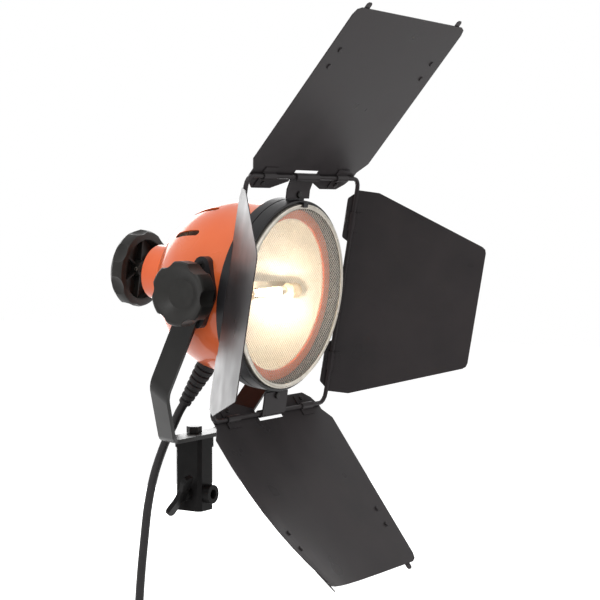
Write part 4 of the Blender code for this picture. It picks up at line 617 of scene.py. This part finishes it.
def lamp():
    """The double-ended quartz tube with its pinched seals and its glowing coil."""
    outline = [(0.0022, -0.0355), (0.0030, -0.0350), (0.0032, -0.0295), (0.0046, -0.0262), (0.0055, -0.0240),
               (0.0055, 0.0240), (0.0046, 0.0262), (0.0032, 0.0295), (0.0030, 0.0350), (0.0022, 0.0355)]
    spot = HEAD @ Matrix.Translation((0, 0, LAMP_AHEAD)) @ TOWARDS_FAR
    tube = settle(turned("quartz_tube", outline, 40), spot)
    dress(tube, FUSED_QUARTZ, "lamp")
    bpy.ops.object.select_all(action="DESELECT")
    bpy.ops.mesh.primitive_circle_add(vertices=6, radius=0.00035, location=(0.0016, 0, -0.020),
                                      rotation=(math.pi / 2, 0, 0))
    coil = named("tungsten_coil")
    turns = 18
    winding = coil.modifiers.new("winding", "SCREW")
    winding.axis = "Z"
    winding.angle = 2 * math.pi * turns
    winding.screw_offset = 0.040
    winding.steps = winding.render_steps = turns * 12
    bpy.ops.object.modifier_apply(modifier=winding.name)
    close_up(coil)
    dress(settle(coil, spot), HOT_TUNGSTEN, body="carriage")
    for side, name in ((1, "lamp_holder_far"), (-1, "lamp_holder_near")):
        outline = [(0.0070, 0.0358), (0.0080, 0.0368), (0.0080, 0.0392), (0.0074, 0.0398), (0.0074, 0.0410),
                   (0.0080, 0.0416), (0.0080, 0.0522)]
        holder = round_edges(turned(f"{name}_ceramic", outline, 48), 0.0003)
        turn = TOWARDS_FAR if side > 0 else TOWARDS_NEAR
        dress(settle(holder, HEAD @ Matrix.Translation((0, 0, LAMP_AHEAD)) @ turn), STEATITE, name)


reflector()
lamp()


# Knobs and screws
def scooped(knob, tool, count):
    """Scoops finger holds out of a knob, with one tool set round it."""
    for k in range(count):
        cut(knob, copied(tool, "scoop", Matrix.Rotation(2 * math.pi * k / count, 4, "Z")))
    bpy.data.objects.remove(tool, do_unlink=True)


def tilt_knob():
    """The tilt knob: a scalloped grip on a hub, with a dished face."""
    outline = [(0.0120, 0.0979), (0.0120, 0.1061), (0.0262, 0.1061), (0.0305, 0.1080), (0.0318, 0.1120),
               (0.0318, 0.1270), (0.0306, 0.1288), (0.0290, 0.1296), (0.0252, 0.1290), (0.0150, 0.1226),
               (0.0130, 0.1224)]
    knob = turned("tilt_grip", outline, 120)
    bpy.ops.mesh.primitive_cylinder_add(vertices=64, radius=0.013, depth=0.05, location=(0.0407, 0, 0.118))
    scooped(knob, named("scoop_tool"), 6)
    round_edges(knob, 0.0010, 3, 24)
    return dress(settle(knob, HEAD @ TOWARDS_NEAR), KNOB_PHENOLIC, "tilt_knob")


def focus_knob():
    """The hollow focus knob with its inner ribs and its hub; its set screw comes with the small screws."""
    outline = [(0.0345, -0.1550), (0.0392, -0.1535), (0.0415, -0.1500), (0.0415, -0.1420), (0.0400, -0.1385),
               (0.0375, -0.1375), (0.0330, -0.1375), (0.0320, -0.1385), (0.0320, -0.1500), (0.0090, -0.1500),
               (0.0090, -0.1405), (0.0045, -0.1405), (0.0045, -0.1515)]
    knob = turned("focus_grip", outline, 120)
    bpy.ops.mesh.primitive_uv_sphere_add(segments=48, ring_count=24, radius=0.0240, location=(0.0614, 0, -0.1455))
    scooped(knob, named("scoop_tool"), 7)
    round_edges(knob, 0.0009, 3, 24)
    ribs = []
    for k in range(6):
        rib = cube("rib", (0.0085, -0.0009, -0.1502), (0.0323, 0.0009, -0.1440))
        round_edges(rib, 0.0003, 1)
        ribs.append(settle(rib, Matrix.Rotation(math.radians(60 * k + 30), 4, "Z")))
    knob = joined("focus_grip", [knob, *ribs])
    return dress(settle(knob, HEAD), KNOB_PHENOLIC, "focus_knob")


def cross_screw(name, radius, height):
    """A pan-head screw with a cross recess, its seat at the origin."""
    outline = [(radius * 0.96, 0), (radius, height * 0.2), (radius * 0.93, height * 0.62),
               (radius * 0.72, height * 0.9), (radius * 0.40, height)]
    head = turned(name, outline, 28)
    for wide, deep in ((radius * 0.62, radius * 0.14), (radius * 0.14, radius * 0.62)):
        cut(head, cube("recess", (-wide, -deep, height * 0.45), (wide, deep, height * 1.5)))
    return head


def socket_screw(name, radius, height):
    """A cap screw with a hexagon recess, its seat at the origin."""
    head = round_edges(turned(name, [(radius, 0), (radius, height)], 28), radius * 0.12)
    bpy.ops.mesh.primitive_cylinder_add(vertices=6, radius=radius * 0.62, depth=height * 1.6,
                                        location=(0, 0, height))
    return cut(head, named("recess"))


def small_screws():
    """The screws of the straps, the brackets and the side plates."""
    strap = cross_screw("strap_screw", 0.0027, 0.0017)
    for leaf, along, inward in (("top", 0.069, 0.0098), ("bottom", 0.069, 0.0098), ("near", 0.076, 0.0052),
                                ("far", 0.076, 0.0052)):
        for number, side in enumerate((1, -1), 1):
            spot = HINGES[leaf] @ Matrix.Translation((side * along, -inward, -0.00140))
            head = copied(strap, f"strap_screw_{leaf}_{number}", spot @ Matrix.Rotation(0.4 * side, 4, "Z"))
            dress(head, BLACK_OXIDE, body=f"leaf_{leaf}_body")
    bpy.data.objects.remove(strap, do_unlink=True)
    bracket = cross_screw("bracket_screw", 0.0035, 0.0021)
    for label, side in (("top", 1), ("bottom", -1)):
        head = copied(bracket, f"bracket_screw_head_{label}",
                      HEAD @ Matrix.Translation((0, side * 0.1035, 0.0454)) @ Matrix.Rotation(0.7, 4, "Z"))
        dress(head, BLACK_OXIDE, body=frame["nodes"][f"bracket_screw_{label}"]["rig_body"])
    bpy.data.objects.remove(bracket, do_unlink=True)
    plate = socket_screw("plate_screw", 0.0040, 0.0019)
    for label, turn in (("near", TOWARDS_NEAR), ("far", TOWARDS_FAR)):
        for level, rise in (("upper", 0.027), ("lower", -0.027)):
            spot = HEAD @ Matrix.Translation((0, rise, 0)) @ turn @ Matrix.Translation((0, 0, 0.0908))
            dress(copied(plate, f"plate_screw_{label}_{level}", spot), BLACK_OXIDE, f"side_screw_{label}_{level}")
    bpy.data.objects.remove(plate, do_unlink=True)
    grub = socket_screw("focus_set_screw", 0.0021, 0.0012)
    spot = HEAD @ Matrix.Translation((0, 0, -0.1432)) @ TOWARDS_NEAR @ Matrix.Translation((0, 0, 0.0086))
    dress(settle(grub, spot), ZINC_PLATE, body="focus")


tilt_knob()
focus_knob()
small_screws()


# Strain relief
def strain_relief():
    """The ribbed rubber sleeve that leads the cord out of the bell."""
    ribs = 7
    top = BELL_RADIUS - BELL_CENTRE * math.cos(RELIEF_ANGLE)
    start = top + 0.006
    step = (RELIEF_END - start) / ribs
    outline = [(0.0062, top - 0.004), (0.0112, top - 0.003), (0.0115, top + 0.0005), (0.0115, start - 0.0006),
               (0.0108, start)]
    for k in range(ribs):
        low = start + step * k
        radius = 0.0105 - 0.0043 * k / ribs
        outline += [(radius - 0.0016, low + step * 0.06), (radius - 0.0016, low + step * 0.30),
                    (radius - 0.0002, low + step * 0.40), (radius, low + step * 0.50), (radius, low + step * 0.86),
                    (radius - 0.0003, low + step * 0.97)]
    outline += [(0.0062, RELIEF_END - 0.0012), (0.0060, RELIEF_END), (0.0050, RELIEF_END)]
    sleeve = turned("relief_sleeve", outline, 48)
    turn = Vector((0, 0, 1)).rotation_difference(RELIEF_WAY).to_matrix().to_4x4()
    return dress(settle(sleeve, HEAD @ turn), NEOPRENE, "strain_relief")


strain_relief()

# Solids whose shape is right, with their edges rounded
for node, material, width, segments in (
        ("yoke_bracket", BAR_COAT, 0.0010, 3),
        ("spigot_socket", CAST_METAL, 0.0009, 3),
        ("socket_bolt", BLACK_OXIDE, 0.0006, 2),
        ("wing_screw", CAST_METAL, 0.0013, 3),
        ("side_plate_near", BLACK_ENAMEL, 0.0006, 2),
        ("side_plate_far", BLACK_ENAMEL, 0.0006, 2),
        ("pivot_nut", ZINC_PLATE, 0.0004, 2),
        ("guard_clip", BLACK_ENAMEL, 0.0002, 2),
        ("bracket_top", LEAF_PAINT, 0.0003, 2),
        ("bracket_bottom", LEAF_PAINT, 0.0003, 2),
        ("leaf_top", LEAF_PAINT, 0.0003, 2),
        ("leaf_bottom", LEAF_PAINT, 0.0003, 2),
        ("leaf_near", LEAF_PAINT, 0.0003, 2),
        ("leaf_far", LEAF_PAINT, 0.0003, 2)):
    rounded_copy(node, material, width, segments)
for leaf in HINGES:
    for number in (1, 2):
        rounded_copy(f"strap_{leaf}_{number}", LEAF_PAINT, 0.0002)
for leaf in ("top", "bottom"):
    for number in (1, 2):
        rounded_copy(f"gel_clip_{leaf}_{number}", LEAF_PAINT, 0.0002)

# Solids that stay as they are
for node, material in (("heat_baffle", ZINC_PLATE), ("terminal_block", STEATITE), ("tilt_bolt_near", ZINC_PLATE),
                       ("tilt_bolt_far", ZINC_PLATE), ("focus_shaft", ZINC_PLATE), ("lamp_carriage", ZINC_PLATE),
                       ("bracket_screw_top", BLACK_OXIDE), ("bracket_screw_bottom", BLACK_OXIDE),
                       ("door_frame", LEAF_PAINT)):
    for slot in frame["nodes"][node].material_slots:
        slot.material = material


# Studio
STUDIO_AIM = Vector((0, -0.1, 0.22))
STUDIO_LAMPS = (("key", (-1.5, -0.6, 1.6), 1.0, 16), ("fill", (0.9, -1.6, 0.7), 1.2, 3),
                ("rim", (1.35, 1.5, 0.5), 1.7, 26))
SKY_LIGHT = 0.62
SWEEP_GLOW = 0.45


def looked_at(owner):
    """1 where a ray looks at the backdrop, also in a reflection or through glass, and 0 where it only lights."""
    ray = add(owner, "ShaderNodeLightPath")
    seen = add(owner, "ShaderNodeMath", {0: ray.outputs["Is Camera Ray"], 1: ray.outputs["Is Glossy Ray"]},
               operation="MAXIMUM")
    return add(owner, "ShaderNodeMath", {0: seen.outputs[0], 1: ray.outputs["Is Transmission Ray"]},
               operation="MAXIMUM").outputs[0]


def studio():
    """A white sweep and soft lamps."""
    world = bpy.data.worlds.new("studio")
    bpy.context.scene.world = world
    world.use_nodes = True
    backdrop = world.node_tree.nodes["Background"]
    strength = add(world, "ShaderNodeMapRange", {"Value": looked_at(world), "To Min": SKY_LIGHT, "To Max": 1.0})
    backdrop.inputs["Color"].default_value = (1, 1, 1, 1)
    world.node_tree.links.new(strength.outputs[0], backdrop.inputs["Strength"])
    bpy.ops.mesh.primitive_plane_add(size=12, location=(0, 0, CAD_BOX[0][2] - 0.002))
    floor = named("floor")
    paper = bpy.data.materials.new("white_paper_sweep")
    paper.use_nodes = True
    shader = paper.node_tree.nodes["Principled BSDF"]
    shader.inputs["Base Color"].default_value = linear("F2F2F2")
    shader.inputs["Roughness"].default_value = 0.9
    glow = add(paper, "ShaderNodeMath", {0: looked_at(paper), 1: SWEEP_GLOW}, operation="MULTIPLY")
    shader.inputs["Emission Color"].default_value = (1, 1, 1, 1)
    paper.node_tree.links.new(glow.outputs[0], shader.inputs["Emission Strength"])
    floor.data.materials.append(paper)
    for name, spot, size, energy in STUDIO_LAMPS:
        bpy.ops.object.light_add(type="AREA", location=spot)
        lamp_head = bpy.context.object
        lamp_head.name = name
        lamp_head.data.size = size
        lamp_head.data.energy = energy
        lamp_head.rotation_euler = (STUDIO_AIM - Vector(spot)).to_track_quat("-Z", "Y").to_euler()


studio()

# The lit lamp fills its bowl
bpy.ops.object.light_add(type="POINT", location=HEAD @ Vector((0, 0, 0.046)))
BURNING = bpy.context.object
BURNING.name = "lamp_light"
BURNING.data.energy = 0.18
BURNING.data.color = linear("FFF6EA")[:3]
BURNING.data.shadow_soft_size = 0.004
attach(BURNING, "carriage")

bpy.context.scene.view_settings.view_transform = "Standard"
